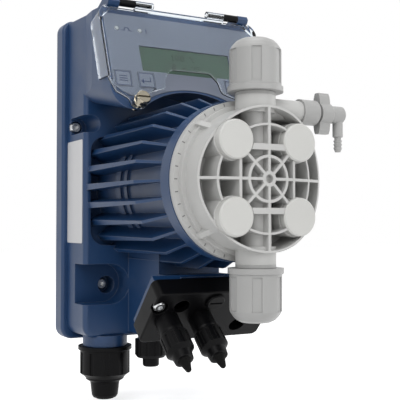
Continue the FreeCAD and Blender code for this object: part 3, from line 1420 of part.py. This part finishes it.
def priming_knob():
    """Winged knob in one piece with the needle, and a spigot for the outlet elbow."""
    body = turned("priming_knob", [
        (0, S.neck + 1), (1.2, S.neck + 1.5), (S.spindle, S.neck + 4), (S.spindle, S.knob_start),
        (6.4, S.knob_start), (6.4, S.knob_end - 1), (5.6, S.knob_end), (S.elbow_bore, S.knob_end),
        (S.elbow_bore, S.knob_end + 6), (0, S.knob_end + 6)], RIGHT, 0, S.valve_deep, S.prime_height)
    sketch = sketch_on(body, "XY_Plane", S.knob_start)
    outline(sketch, [(-12, -1.6), (-10, -2.6), (-4, -3.6), (4, -3.6), (10, -2.6), (12, -1.6), (12, 1.6),
                     (10, 2.6), (4, 3.6), (-4, 3.6), (-10, 2.6), (-12, 1.6)])
    pad(body, sketch, S.knob_end - S.knob_start - 1.5)


def priming_elbow():
    """Outlet elbow that swivels on the knob's spigot, with a barb for the drain hose."""
    start = S.knob_end + 0.1
    body = turned("priming_elbow", [
        (0, S.elbow_end), (4, S.elbow_end), (5.2, S.elbow_end - 1.3), (5.2, start),
        (S.elbow_bore + S.slip, start), (S.elbow_bore + S.slip, S.knob_end + 6.1), (0, S.knob_end + 6.1)],
        RIGHT, 0, S.valve_deep, S.prime_height)
    turn_at = S.barb_x
    stem = body.newObject("Sketcher::SketchObject", "barb_sketch")
    stem.AttachmentSupport = (plane_of(body, "XZ_Plane"), [""])
    stem.MapMode = "FlatFace"
    stem.AttachmentOffset = Placement(Vector(0, turn_at.value, 0), Rotation(Vector(0, 0, 1), -90))
    drop = S.prime_height - S.barb_end
    shoulder = S.prime_height - 27
    outline(stem, [
        (0, 0), (3.1, 0), (3.1, shoulder - 0.6), (2.8, shoulder), (S.barb, shoulder),
        (S.barb, shoulder + 1.5), (S.barb + 0.6, shoulder + 2), (S.barb, shoulder + 3.6),
        (S.barb + 0.6, shoulder + 4.1),
        (S.barb, shoulder + 5.7), (S.barb + 0.6, shoulder + 6.2), (S.barb - 0.4, drop), (0, drop)])
    turn(body, stem)
    bore = sketch_on(body, "XY_Plane", start - 1)
    circle(bore, 0, 0, S.elbow_bore + S.slip)
    cut(body, bore, 7.1)


rear_shell()
wall_bracket()
casing_gasket()
front_casing()
casing_screws()
side_label()
panel_overlay()
display_module()
circuit_board()
board_screws()
for key_name, key_x in zip(("menu_key", "enter_key", "down_key", "up_key"), key_places()):
    panel_key(key_name, key_x)
status_leds()
driver_board()
terminal_block()
hinge_pins()
clear_lid()
lid_screw("lid_screw_left", -1)
lid_screw("lid_screw_right", 1)
io_plate()
io_gasket()
io_plate_screws()
signal_glands()
blanking_plug()
connector_cap()
power_gland()
solenoid()
return_spring()
diaphragm()
pump_head()
head_bolts()
bolt_caps()
DELIVERY_SEAT = as_size(26)
SUCTION_SEAT = as_size(24)
valve_body("delivery_valve", 1, DELIVERY_SEAT)
valve_body("suction_valve", -1, SUCTION_SEAT)
valve_ball("delivery_ball", 1, DELIVERY_SEAT)
valve_ball("suction_ball", -1, SUCTION_SEAT)
union_nut("delivery_nut", 1)
union_nut("suction_nut", -1)
ferrule("delivery_ferrule", 1)
ferrule("suction_ferrule", -1)
priming_body()
priming_knob()
priming_elbow()
doc.recompute()

os.makedirs("parts", exist_ok=True)
for item in doc.Objects:
    if "Invalid" in item.State or "Error" in item.State:
        raise RuntimeError(f"{item.Label}: {item.State}")
for node in NODES:
    if node.Shape.isNull() or not node.Shape.isValid():
        raise RuntimeError(f"{node.Label}: bad shape")
    node.Shape.exportStep(f"parts/{node.Label}.step")
    print(node.Label, len(node.Shape.Solids), round(node.Shape.Volume))
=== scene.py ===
import json
import math

import bpy
import numpy as np
from mathutils import Matrix, Vector


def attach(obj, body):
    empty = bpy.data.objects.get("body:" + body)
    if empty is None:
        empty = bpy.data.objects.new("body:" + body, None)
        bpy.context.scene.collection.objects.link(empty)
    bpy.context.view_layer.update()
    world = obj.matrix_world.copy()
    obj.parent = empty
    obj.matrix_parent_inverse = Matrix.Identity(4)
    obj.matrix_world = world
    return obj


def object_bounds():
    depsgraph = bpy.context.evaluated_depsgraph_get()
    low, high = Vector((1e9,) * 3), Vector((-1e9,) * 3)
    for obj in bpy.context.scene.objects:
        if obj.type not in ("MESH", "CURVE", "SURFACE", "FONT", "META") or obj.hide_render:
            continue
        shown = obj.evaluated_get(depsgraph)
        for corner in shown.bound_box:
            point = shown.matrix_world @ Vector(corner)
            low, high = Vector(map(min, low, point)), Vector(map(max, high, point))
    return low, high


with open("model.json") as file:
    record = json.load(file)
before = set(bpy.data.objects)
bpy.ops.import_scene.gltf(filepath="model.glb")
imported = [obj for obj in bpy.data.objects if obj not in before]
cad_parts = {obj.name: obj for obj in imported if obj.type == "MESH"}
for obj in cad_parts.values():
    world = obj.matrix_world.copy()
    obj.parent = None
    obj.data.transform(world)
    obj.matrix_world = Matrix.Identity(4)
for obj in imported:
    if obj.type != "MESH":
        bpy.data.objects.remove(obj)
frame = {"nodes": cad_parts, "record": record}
cad_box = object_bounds()
nodes = frame["nodes"]

MM = 0.001

# Camera, solved from the photograph's perspective
CAMERA_AT = (-0.2456, -0.5402, -0.0252)
CAMERA_TOWARDS = (0.49011, 0.87109, 0.03147)
CAMERA_LENS = 71.79
CAMERA_SENSOR = 36.0
CAMERA_CLIP = 0.01

# The point near the pump's middle that every lamp looks at
LAMP_AIM = (0.0, -0.09, 0.0)

# How strongly the world lights the object, and how white it looks behind it
WORLD_LIGHT = 0.40
WORLD_SEEN = 1.0

# The leaning control panel: how far it leans back, where its plane starts, and its axes across, up and out
PANEL_LEAN = math.radians(20.5)
PANEL_AT = Vector((0.0, -74.7 * MM, 107.8 * MM))
PANEL_UP = Vector((0.0, math.sin(PANEL_LEAN), math.cos(PANEL_LEAN)))
PANEL_OUT = Vector((0.0, -math.cos(PANEL_LEAN), math.sin(PANEL_LEAN)))
PANEL_AXES = (PANEL_AT, (1, 0, 0), PANEL_UP, PANEL_OUT)

# Ink starts below the surface that it is printed on, so that no gap shows, and ends just above it
PRINT_SUNK = 0.1 * MM
PRINT_HIGH = 0.03 * MM

FLOOR_HEIGHT = cad_box[0][2] - 4 * MM
FLOOR_REACH = 3.0
FLOOR_LINES = 5
# How much white the floor adds where it is seen directly
FLOOR_GLOW = 0.62


# Objects and meshes

def placed(name, data):
    """A new object at the origin, linked to the scene."""
    thing = bpy.data.objects.new(name, data)
    bpy.context.scene.collection.objects.link(thing)
    return thing


def mesh_piece(name, points, faces, smooth=True):
    """An object at the origin from vertex rows and face index rows."""
    mesh = bpy.data.meshes.new(name)
    mesh.from_pydata(points.tolist(), [], faces.tolist())
    mesh.polygons.foreach_set("use_smooth", np.full(len(mesh.polygons), smooth))
    mesh.update()
    return placed(name, mesh)


def grid_faces(rows, columns):
    """Quads of a rows x columns grid: each joins a point, its right, upper right and upper neighbours."""
    first = np.arange(rows - 1)[:, None] * columns + np.arange(columns - 1)[None, :]
    corners = (first, first + 1, first + columns + 1, first + columns)
    return np.stack(corners, axis=-1).reshape(-1, 4)


def slabs(centres, half, axes, bottom, top):
    """Boxes on a plane: corner = centre +- half along two axes, and bottom or top along the third.

    axes holds the plane's starting point and its directions across, up and out. half is one pair for all the
    boxes, or a pair for each.
    """
    origin, across, up, out = (np.array(axis, float) for axis in axes)
    ring = [[-1, -1], [1, -1], [1, 1], [-1, 1]]
    sign = np.array([corner + [level] for level in (0, 1) for corner in ring])
    centres = np.asarray(centres, float)
    half = np.broadcast_to(np.asarray(half, float), centres.shape)
    x = centres[:, None, 0] + sign[None, :, 0] * half[:, None, 0]
    y = centres[:, None, 1] + sign[None, :, 1] * half[:, None, 1]
    z = np.where(sign[None, :, 2] > 0, top, bottom) + 0 * x
    points = origin + x[..., None] * across + y[..., None] * up + z[..., None] * out
    box = np.array([[3, 2, 1, 0], [4, 5, 6, 7], [0, 1, 5, 4], [1, 2, 6, 5], [2, 3, 7, 6], [3, 0, 4, 7]])
    faces = box[None] + len(sign) * np.arange(len(centres))[:, None, None]
    return points.reshape(-1, 3), faces.reshape(-1, 4)


def joined(pieces):
    """One set of points and faces from several: each set's indices move up by the points before it."""
    points = np.concatenate([piece[0] for piece in pieces])
    starts = np.cumsum([0] + [len(piece[0]) for piece in pieces[:-1]])
    faces = np.concatenate([piece[1] + start for piece, start in zip(pieces, starts)])
    return points, faces


def world_points(name):
    """Points of a CAD node in the shared frame."""
    node = nodes[name]
    points = np.empty(len(node.data.vertices) * 3)
    node.data.vertices.foreach_get("co", points)
    turn = np.array(node.matrix_world)
    return points.reshape(-1, 3) @ turn[:3, :3].T + turn[:3, 3]


def panel_points(name):
    """Points of a CAD node as distances across, up and out of the control panel's plane."""
    axes = np.array([(1.0, 0.0, 0.0), PANEL_UP, PANEL_OUT])
    return (world_points(name) - np.array(PANEL_AT)) @ axes.T


# Materials

# Nearly all of a noise lies between these two values
NOISE_LOW = 0.3
NOISE_HIGH = 0.7

# The radius to which moulded and machined edges look rounded, and how far from an edge the wear reaches
MOULDED_EDGE = 0.5 * MM
MACHINED_EDGE = 0.2 * MM
WEAR_REACH = 1.4 * MOULDED_EDGE

CLEAR_ROUGH = 0.006


class Nodes:
    """Short names for building a material's node tree."""

    def __init__(self, name):
        self.material = bpy.data.materials.new(name)
        self.material.use_nodes = True
        self.tree = self.material.node_tree
        self.shader = self.tree.nodes["Principled BSDF"]

    def add(self, kind, **inputs):
        """A new node, with numbers set on its sockets and other nodes' outputs linked to them."""
        node = self.tree.nodes.new(kind)
        for label, value in inputs.items():
            self.feed(node.inputs[label.replace("_", " ")], value)
        return node

    def surface(self, **inputs):
        """Numbers set on the shader's own sockets, and other nodes' outputs linked to them."""
        for label, value in inputs.items():
            self.feed(self.shader.inputs[label.replace("_", " ")], value)

    def feed(self, socket, value):
        """A link where the value is another node's output, else the socket's own value."""
        if isinstance(value, bpy.types.NodeSocket):
            self.tree.links.new(value, socket)
        else:
            socket.default_value = value


def noise(build, scale, detail):
    """Noise over the object's own metres."""
    place = build.add("ShaderNodeTexCoord").outputs["Object"]
    node = build.add("ShaderNodeTexNoise", Vector=place, Scale=scale, Detail=detail, Roughness=0.55)
    return node.outputs["Fac"]


def ramp(build, value, low, high, to_low, to_high):
    """A value carried from one range to another."""
    node = build.add("ShaderNodeMapRange", Value=value, From_Min=low, From_Max=high,
                     To_Min=to_low, To_Max=to_high)
    return node.outputs["Result"]


def spread(build, value, to_low, to_high):
    """A noise carried from the range in which nearly all of it lies to another."""
    return ramp(build, value, NOISE_LOW, NOISE_HIGH, to_low, to_high)


def mix(build, share, first, second):
    """First colour to second colour by a share from 0 to 1."""
    node = build.add("ShaderNodeMix")
    node.data_type = "RGBA"
    build.feed(node.inputs[0], share)
    build.feed(node.inputs[6], first)
    build.feed(node.inputs[7], second)
    return node.outputs[2]


def cloudy(build, value, first, second):
    """First colour to second colour as a noise goes from low to high."""
    return mix(build, spread(build, value, 0.0, 1.0), first, second)


def shade(colour, factor):
    """A colour made darker or paler by a factor, with no channel above 1."""
    return tuple(min(1.0, channel * factor) for channel in colour) + (1.0,)


def rounded(build, radius, samples=6):
    """The normal that a surface has when its edges are rounded to a radius."""
    soft = build.add("ShaderNodeBevel", Radius=radius)
    soft.samples = samples
    return soft.outputs["Normal"]


def edge_wear(build, most):
    """0 on open faces, towards most near an edge: it grows as rounded normal . true normal falls from 1."""
    true = build.add("ShaderNodeNewGeometry").outputs["Normal"]
    dot = build.add("ShaderNodeVectorMath")
    dot.operation = "DOT_PRODUCT"
    build.feed(dot.inputs[0], rounded(build, WEAR_REACH))
    build.feed(dot.inputs[1], true)
    return ramp(build, dot.outputs["Value"], 1.0, 0.75, 0.0, most)


def relief(build, height, strength, distance, **under):
    """Fine relief in the shader's normal: a height over the surface's own normal, or over the one given."""
    bump = build.add("ShaderNodeBump", Height=height, Strength=strength, Distance=distance, **under)
    build.surface(Normal=bump.outputs["Normal"])


def moulded(name, colour, rough, grain=1600.0, grain_bump=0.2, cloud=0.10, wear=0.25, gloss=0.5):
    """Moulded plastic: fine spark-eroded grain, faint cloudy shade, softened edges a little paler."""
    build = Nodes(name)
    broad = noise(build, scale=35.0, detail=3.0)
    fine = noise(build, scale=grain, detail=2.0)
    base = cloudy(build, broad, shade(colour, 1 - cloud), shade(colour, 1 + cloud))
    pale = mix(build, 0.5, (1.0, 1.0, 1.0, 1.0), shade(colour, 1.2))
    build.surface(Base_Color=mix(build, edge_wear(build, wear), base, pale),
                  Roughness=spread(build, broad, rough - 0.05, rough + 0.05),
                  Specular_IOR_Level=gloss)
    relief(build, fine, strength=grain_bump, distance=0.05 * MM, Normal=rounded(build, MOULDED_EDGE))
    return build.material


def metal(name, colour, rough, brushed=4000.0):
    """Machined metal: streaked roughness and a fine turned grain."""
    build = Nodes(name)
    streak = noise(build, scale=brushed, detail=3.0)
    broad = noise(build, scale=60.0, detail=2.0)
    build.surface(Base_Color=cloudy(build, broad, shade(colour, 0.88), shade(colour, 1.08)),
                  Roughness=spread(build, streak, rough - 0.08, rough + 0.08),
                  Metallic=1.0)
    relief(build, streak, strength=0.15, distance=0.02 * MM, Normal=rounded(build, MACHINED_EDGE, samples=4))
    return build.material


def clear(name, tint):
    """Clear moulded plastic: refracting, with very faint flow marks in its tint, gloss and surface."""
    build = Nodes(name)
    flow = noise(build, scale=18.0, detail=2.0)
    build.surface(Base_Color=cloudy(build, flow, shade(tint, 0.98), shade(tint, 1.0)),
                  Roughness=spread(build, flow, CLEAR_ROUGH * 0.6, CLEAR_ROUGH * 1.4),
                  Transmission_Weight=1.0,
                  IOR=1.3)
    relief(build, flow, strength=0.05, distance=0.05 * MM)
    return build.material


def display_glass(name):
    """Dark green display: faintly cloudy, with a satin surface."""
    build = Nodes(name)
    broad = noise(build, scale=40.0, detail=2.0)
    fine = noise(build, scale=5000.0, detail=2.0)
    build.surface(Base_Color=cloudy(build, broad, (0.022, 0.060, 0.036, 1), (0.030, 0.074, 0.045, 1)),
                  Roughness=spread(build, fine, 0.22, 0.34))
    relief(build, fine, strength=0.05, distance=0.01 * MM)
    return build.material


def wound_copper(name):
    """Enamelled copper: turns of wire as a fine wave along the coil's axis."""
    build = Nodes(name)
    place = build.add("ShaderNodeTexCoord").outputs["Object"]
    turns = build.add("ShaderNodeTexWave", Vector=place, Scale=300.0)
    turns.bands_direction = "Y"
    wave = turns.outputs["Fac"]
    build.surface(Base_Color=mix(build, wave, (0.30, 0.10, 0.03, 1), (0.62, 0.24, 0.09, 1)),
                  Roughness=ramp(build, wave, 0.0, 1.0, 0.30, 0.42),
                  Metallic=0.8)
    relief(build, wave, strength=0.6, distance=0.2 * MM)
    return build.material


casing_blue = moulded("casing_blue", (0.006, 0.037, 0.112), 0.42, grain_bump=0.3, cloud=0.06, wear=0.16)
black_plastic = moulded("black_plastic", (0.0025, 0.0025, 0.003), 0.40, grain=1400.0, wear=0.015, gloss=0.1)
black_rubber = moulded("black_rubber", (0.004, 0.004, 0.004), 0.70, grain=2400.0, wear=0.015, gloss=0.1)
label_white = moulded("label_white", (0.66, 0.66, 0.67), 0.35, grain=3000.0, grain_bump=0.1, cloud=0.02,
                      wear=0.0)
panel_grey = moulded("panel_grey", (0.145, 0.165, 0.215), 0.38, grain=2600.0, cloud=0.03, wear=0.1)
key_grey = moulded("key_grey", (0.165, 0.185, 0.235), 0.38, grain=2600.0, cloud=0.03, wear=0.12)
ink_dark = moulded("ink_dark", (0.002, 0.005, 0.003), 0.6, grain=3000.0, wear=0.0, gloss=0.2)
ink_blue = moulded("ink_blue", (0.012, 0.028, 0.095), 0.5, grain=3000.0, wear=0.0, gloss=0.3)
# Dark grey painted shade for the small notches round the head
notch_shade_grey = moulded("notch_shade_grey", (0.20, 0.20, 0.20), 0.5, grain=1500.0, wear=0.0, gloss=0.3)
head_grey = moulded("head_grey", (0.51, 0.51, 0.50), 0.40, grain=1500.0, cloud=0.03, wear=0.12)
cap_grey = moulded("cap_grey", (0.57, 0.57, 0.55), 0.42, grain=1800.0, cloud=0.02, wear=0.1)
nut_white = moulded("nut_white", (0.37, 0.37, 0.365), 0.36, grain=1500.0, cloud=0.03, wear=0.1)
nylon_white = moulded("nylon_white", (0.66, 0.64, 0.58), 0.45, grain=1500.0)
ceramic = moulded("ceramic", (0.76, 0.74, 0.69), 0.15, grain=2500.0, grain_bump=0.05)
board_green = moulded("board_green", (0.01, 0.13, 0.05), 0.3, grain=900.0, cloud=0.15)
lamp_pale = moulded("lamp_pale", (0.42, 0.43, 0.44), 0.15, grain=2500.0, grain_bump=0.03)
steel = metal("steel", (0.56, 0.57, 0.58), 0.30)
zinc = metal("zinc", (0.60, 0.61, 0.60), 0.42, brushed=1200.0)
dull_brass = metal("dull_brass", (0.33, 0.30, 0.24), 0.20)
clear_plastic = clear("clear_plastic", (0.93, 0.97, 1.0))
green_glass = display_glass("green_glass")
copper = wound_copper("copper")

FINISHES = {
    "blue_casing": casing_blue, "black_plastic": black_plastic, "black_rubber": black_rubber,
    "clear_plastic": clear_plastic, "white_label": label_white, "grey_panel": panel_grey,
    "key_face": key_grey, "display_glass": green_glass, "green_board": board_green, "lamp": lamp_pale,
    "steel": steel, "zinc_plate": zinc, "copper_coil": copper, "white_nylon": nylon_white,
    "grey_head": head_grey, "cap_grey": cap_grey, "nut_white": nut_white, "ceramic": ceramic,
    "clear_elbow": nut_white,
}


def dress_nodes():
    """Every CAD node takes the finish of its slot, apart from the two lid screws, which are dull brass."""
    slots = {part["node"]: part["material_slot"] for part in frame["record"]["subparts"]}
    for name, node in nodes.items():
        node.data.materials.clear()
        node.data.materials.append(dull_brass if name.startswith("lid_screw") else FINISHES[slots[name]])


dress_nodes()


def finish_piece(piece, material, body):
    """A new piece takes its material and the body that it moves with."""
    piece.data.materials.append(material)
    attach(piece, body)
    return piece


# Prints on the keys and beside the lamps

# Each bar of a sign is its middle and its half sizes, in mm
TRIANGLE = [(0.0, -1.5 + 0.5 * step, 2.4 - 0.4 * step, 0.26) for step in range(6)]
ARROW_TIP = [(-3.6 + 0.35 * step, -0.9, 0.18, 0.3 + 0.32 * step) for step in range(5)]
SIGNS = {
    "menu_key": [(0.0, height, 2.6, 0.28) for height in (-1.6, 0.0, 1.6)],
    "enter_key": [(0.2, -0.9, 2.6, 0.28), (2.6, 0.4, 0.28, 1.5)] + ARROW_TIP,
    "up_key": TRIANGLE,
    "down_key": [(x, -y, wide, high) for x, y, wide, high in TRIANGLE],
}

# A pulse for the stroke's lamp and an exclamation mark for the fault's
PULSE = [(-2.6, -1.0, 1.1, 0.26), (-1.5, 0.0, 0.26, 1.26), (0.0, 1.0, 1.5, 0.26), (1.5, 0.0, 0.26, 1.26),
         (2.6, -1.0, 1.1, 0.26)]
FAULT = [(0.0, 0.5, 0.3, 1.2), (0.0, -1.3, 0.3, 0.3)]
# How far each lies to the right of its lamp's middle
PULSE_GAP = 6.8 * MM
FAULT_GAP = 4.5 * MM

# A key's printed frame: how far it lies inside the key's edge, and half the width of its line
FRAME_INSET = 0.45 * MM
FRAME_LINE = 0.24 * MM
# Points this close to a key's highest one belong to its face
FACE_DEPTH = 0.02 * MM


def sign_bars(sign, x, y):
    """A sign's bars round a point of the panel, in metres."""
    return [(x + across * MM, y + up * MM, wide * MM, high * MM) for across, up, wide, high in sign]


def panel_print(name, bars, level, body):
    """Bars of ink on a face that lies at a level above the panel's plane."""
    bars = np.array(bars)
    shape = slabs(bars[:, :2], bars[:, 2:], PANEL_AXES, level - PRINT_SUNK, level + PRINT_HIGH)
    return finish_piece(mesh_piece(name, *shape, smooth=False), ink_blue, body)


def key_print(name):
    """A thin printed frame just inside the key's edge, and the key's sign in its middle."""
    points = panel_points(name)
    top = points[:, 2].max()
    face = points[points[:, 2] > top - FACE_DEPTH]
    low, high = face[:, :2].min(axis=0), face[:, :2].max(axis=0)
    x, y = (low + high) / 2
    wide, tall = (high - low) / 2 - FRAME_INSET
    bars = [(x, y - tall, wide, FRAME_LINE), (x, y + tall, wide, FRAME_LINE),
            (x - wide, y, FRAME_LINE, tall), (x + wide, y, FRAME_LINE, tall)]
    return panel_print(name + "_print", bars + sign_bars(SIGNS[name], x, y), top, name)


def lamp_print():
    """The sign of each lamp, printed on the panel to the right of the lamp."""
    lamps = panel_points("status_leds")
    top = panel_points("panel_overlay")[:, 2].max()
    left = lamps[:, 0] < (lamps[:, 0].min() + lamps[:, 0].max()) / 2
    bars = []
    for side, sign, gap in ((left, PULSE, PULSE_GAP), (~left, FAULT, FAULT_GAP)):
        x, y = (lamps[side, :2].min(axis=0) + lamps[side, :2].max(axis=0)) / 2
        bars += sign_bars(sign, x + gap, y)
    return panel_print("lamp_print", bars, top, "casing")


# Numbers on the display

DIGITS = {
    "0": "01110 10001 10011 10101 11001 10001 01110", "1": "00100 01100 00100 00100 00100 00100 01110",
    "2": "01110 10001 00001 00010 00100 01000 11111", "5": "11111 10000 11110 00001 00001 10001 01110",
    "%": "11000 11001 00010 00100 01000 10011 00011", " ": "00000 00000 00000 00000 00000 00000 00000",
    "-": "00000 00000 00000 11111 00000 00000 00000",
}
# The two lines, each with the height of its top below the panel's start
LINES = (("     100 %", -24.5 * MM), ("     0 - 25", -31.5 * MM))
TEXT_LEFT = -28 * MM
DOT_PITCH = 0.56 * MM
ROW_PITCH = 1.1 * DOT_PITCH
LETTER_PITCH = 1.05 * 6 * DOT_PITCH
DOT_HALF = (0.25 * MM, 0.27 * MM)
DOT_HIGH = 0.04 * MM


def display_dots():
    """Dot-matrix numbers: each lit dot is a small square at its column and row times their pitches."""
    centres = []
    for text, top in LINES:
        for place, letter in enumerate(text):
            dots = np.array([[int(dot) for dot in line] for line in DIGITS[letter].split()])
            down, across = np.nonzero(dots)
            x = TEXT_LEFT + place * LETTER_PITCH + across * DOT_PITCH
            centres.append(np.stack((x, top - down * ROW_PITCH), axis=1))
    glass = panel_points("display_module")[:, 2].max()
    shape = slabs(np.concatenate(centres), DOT_HALF, PANEL_AXES, glass - PRINT_SUNK, glass + DOT_HIGH)
    piece = mesh_piece("display_numbers", *shape, smooth=False)
    return finish_piece(piece, ink_dark, "casing")


# Painted shade of the small notches round the head, as flat dark marks

# The two rings of painted notch shade: each ring's radius, and half the length of its marks
NOTCH_SHADE_RINGS = ((44.6 * MM, 0.9 * MM), (35.5 * MM, 1.2 * MM))
NOTCH_SHADE_DEGREES = 9.0
NOTCH_SHADE_HALF_WIDTH = 0.3 * MM
NOTCH_SHADE_SUNK = 0.2 * MM
# A notch's painted shade further than this from its ring's usual depth would lie in a recess, and is left
# out
NOTCH_SHADE_SLACK = 0.3 * MM
# Where the search for the face behind a mark starts, in front of everything
SEARCH_START = -0.3


def head_notch_shade():
    """Painted shade of the fine notches round the head, as flat dark marks: centre = (r cos a, r sin a) at
    even angles, laid on the face behind it.
    """
    head = nodes["pump_head"]
    back = head.matrix_world.inverted()
    inwards = back.to_3x3() @ Vector((0, 1, 0))
    shapes = []
    for radius, half in NOTCH_SHADE_RINGS:
        rows = []
        for angle in np.radians(np.arange(0.0, 360.0, NOTCH_SHADE_DEGREES)):
            out = np.array([math.cos(angle), 0.0, math.sin(angle)])
            start = Vector(radius * out + np.array([0.0, SEARCH_START, 0.0]))
            found, place, _, _ = head.ray_cast(back @ start, inwards)
            if found:
                rows.append((out, np.array(head.matrix_world @ place)))
        level = np.median([place[1] for _, place in rows])
        for out, place in rows:
            if abs(place[1] - level) < NOTCH_SHADE_SLACK:
                axes = (place, out, (-out[2], 0.0, out[0]), (0, -1, 0))
                shapes.append(slabs([(0.0, 0.0)], (half, NOTCH_SHADE_HALF_WIDTH), axes, -NOTCH_SHADE_SUNK, PRINT_HIGH))
    piece = mesh_piece("head_notch_shade", *joined(shapes), smooth=False)
    return finish_piece(piece, notch_shade_grey, "casing")


display_dots()
for key in SIGNS:
    key_print(key)
lamp_print()
head_notch_shade()


# Camera, lamps and floor

def aimed(at, towards):
    """The place and turn of a camera or lamp at a point that looks along a direction."""
    return Matrix.Translation(at) @ towards.normalized().to_track_quat("-Z", "Y").to_matrix().to_4x4()


def place_camera():
    """The photograph's camera, with its shift and depth of field off."""
    camera = placed("camera", bpy.data.cameras.new("camera"))
    camera.matrix_world = aimed(CAMERA_AT, Vector(CAMERA_TOWARDS))
    camera.data.lens = CAMERA_LENS
    camera.data.sensor_width = CAMERA_SENSOR
    camera.data.clip_start = CAMERA_CLIP
    bpy.context.scene.camera = camera


def lamp(name, at, size, power):
    """A soft rectangular lamp at a point, with its width and height in metres and its power in watts."""
    light = bpy.data.lights.new(name, "AREA")
    light.shape = "RECTANGLE"
    light.size, light.size_y = size
    light.energy = power
    placed(name, light).matrix_world = aimed(at, Vector(LAMP_AIM) - Vector(at))


def seen_directly(tree):
    """1 for camera, glossy and transmission rays, 0 for the light that the surface sends on."""
    path = tree.nodes.new("ShaderNodeLightPath")
    share = path.outputs["Is Camera Ray"]
    for label in ("Is Transmission Ray", "Is Glossy Ray"):
        either = tree.nodes.new("ShaderNodeMath")
        either.operation = "MAXIMUM"
        tree.links.new(share, either.inputs[0])
        tree.links.new(path.outputs[label], either.inputs[1])
        share = either.outputs[0]
    return share


def white_world():
    """Soft grey light all round that shows as white behind the object."""
    world = bpy.data.worlds.new("studio")
    bpy.context.scene.world = world
    world.use_nodes = True
    tree = world.node_tree
    back = tree.nodes["Background"]
    strength = tree.nodes.new("ShaderNodeMapRange")
    strength.inputs["To Min"].default_value = WORLD_LIGHT
    strength.inputs["To Max"].default_value = WORLD_SEEN
    tree.links.new(seen_directly(tree), strength.inputs["Value"])
    tree.links.new(strength.outputs["Result"], back.inputs["Strength"])
    back.inputs["Color"].default_value = (1, 1, 1, 1)


def pale_floor():
    """Pale floor: z = floor height, on a grid of a few large squares, whiter where it is seen directly."""
    line = np.linspace(-FLOOR_REACH, FLOOR_REACH, FLOOR_LINES)
    x, y = np.meshgrid(line, line)
    points = np.stack((x, y, np.full_like(x, FLOOR_HEIGHT)), axis=-1).reshape(-1, 3)
    floor = mesh_piece("floor", points, grid_faces(FLOOR_LINES, FLOOR_LINES))
    build = Nodes("floor_paper")
    grain = noise(build, scale=300.0, detail=3.0)
    build.surface(Base_Color=cloudy(build, grain, (0.90, 0.90, 0.90, 1), (0.93, 0.93, 0.93, 1)),
                  Roughness=0.9,
                  Specular_IOR_Level=0.1,
                  Emission_Color=(1, 1, 1, 1),
                  Emission_Strength=ramp(build, seen_directly(build.tree), 0, 1, 0, FLOOR_GLOW))
    floor.data.materials.append(build.material)


place_camera()
white_world()
pale_floor()
lamp("key_lamp", (-0.75, -0.75, 0.75), (0.7, 0.7), 5.5)
lamp("front_lamp", (0.25, -1.2, 0.35), (0.9, 0.6), 3.0)
lamp("right_lamp", (0.9, -0.3, 0.3), (0.5, 0.8), 2.0)
lamp("top_lamp", (0.0, -0.1, 1.0), (0.6, 0.6), 3.0)

bpy.context.scene.view_settings.view_transform = "Standard"
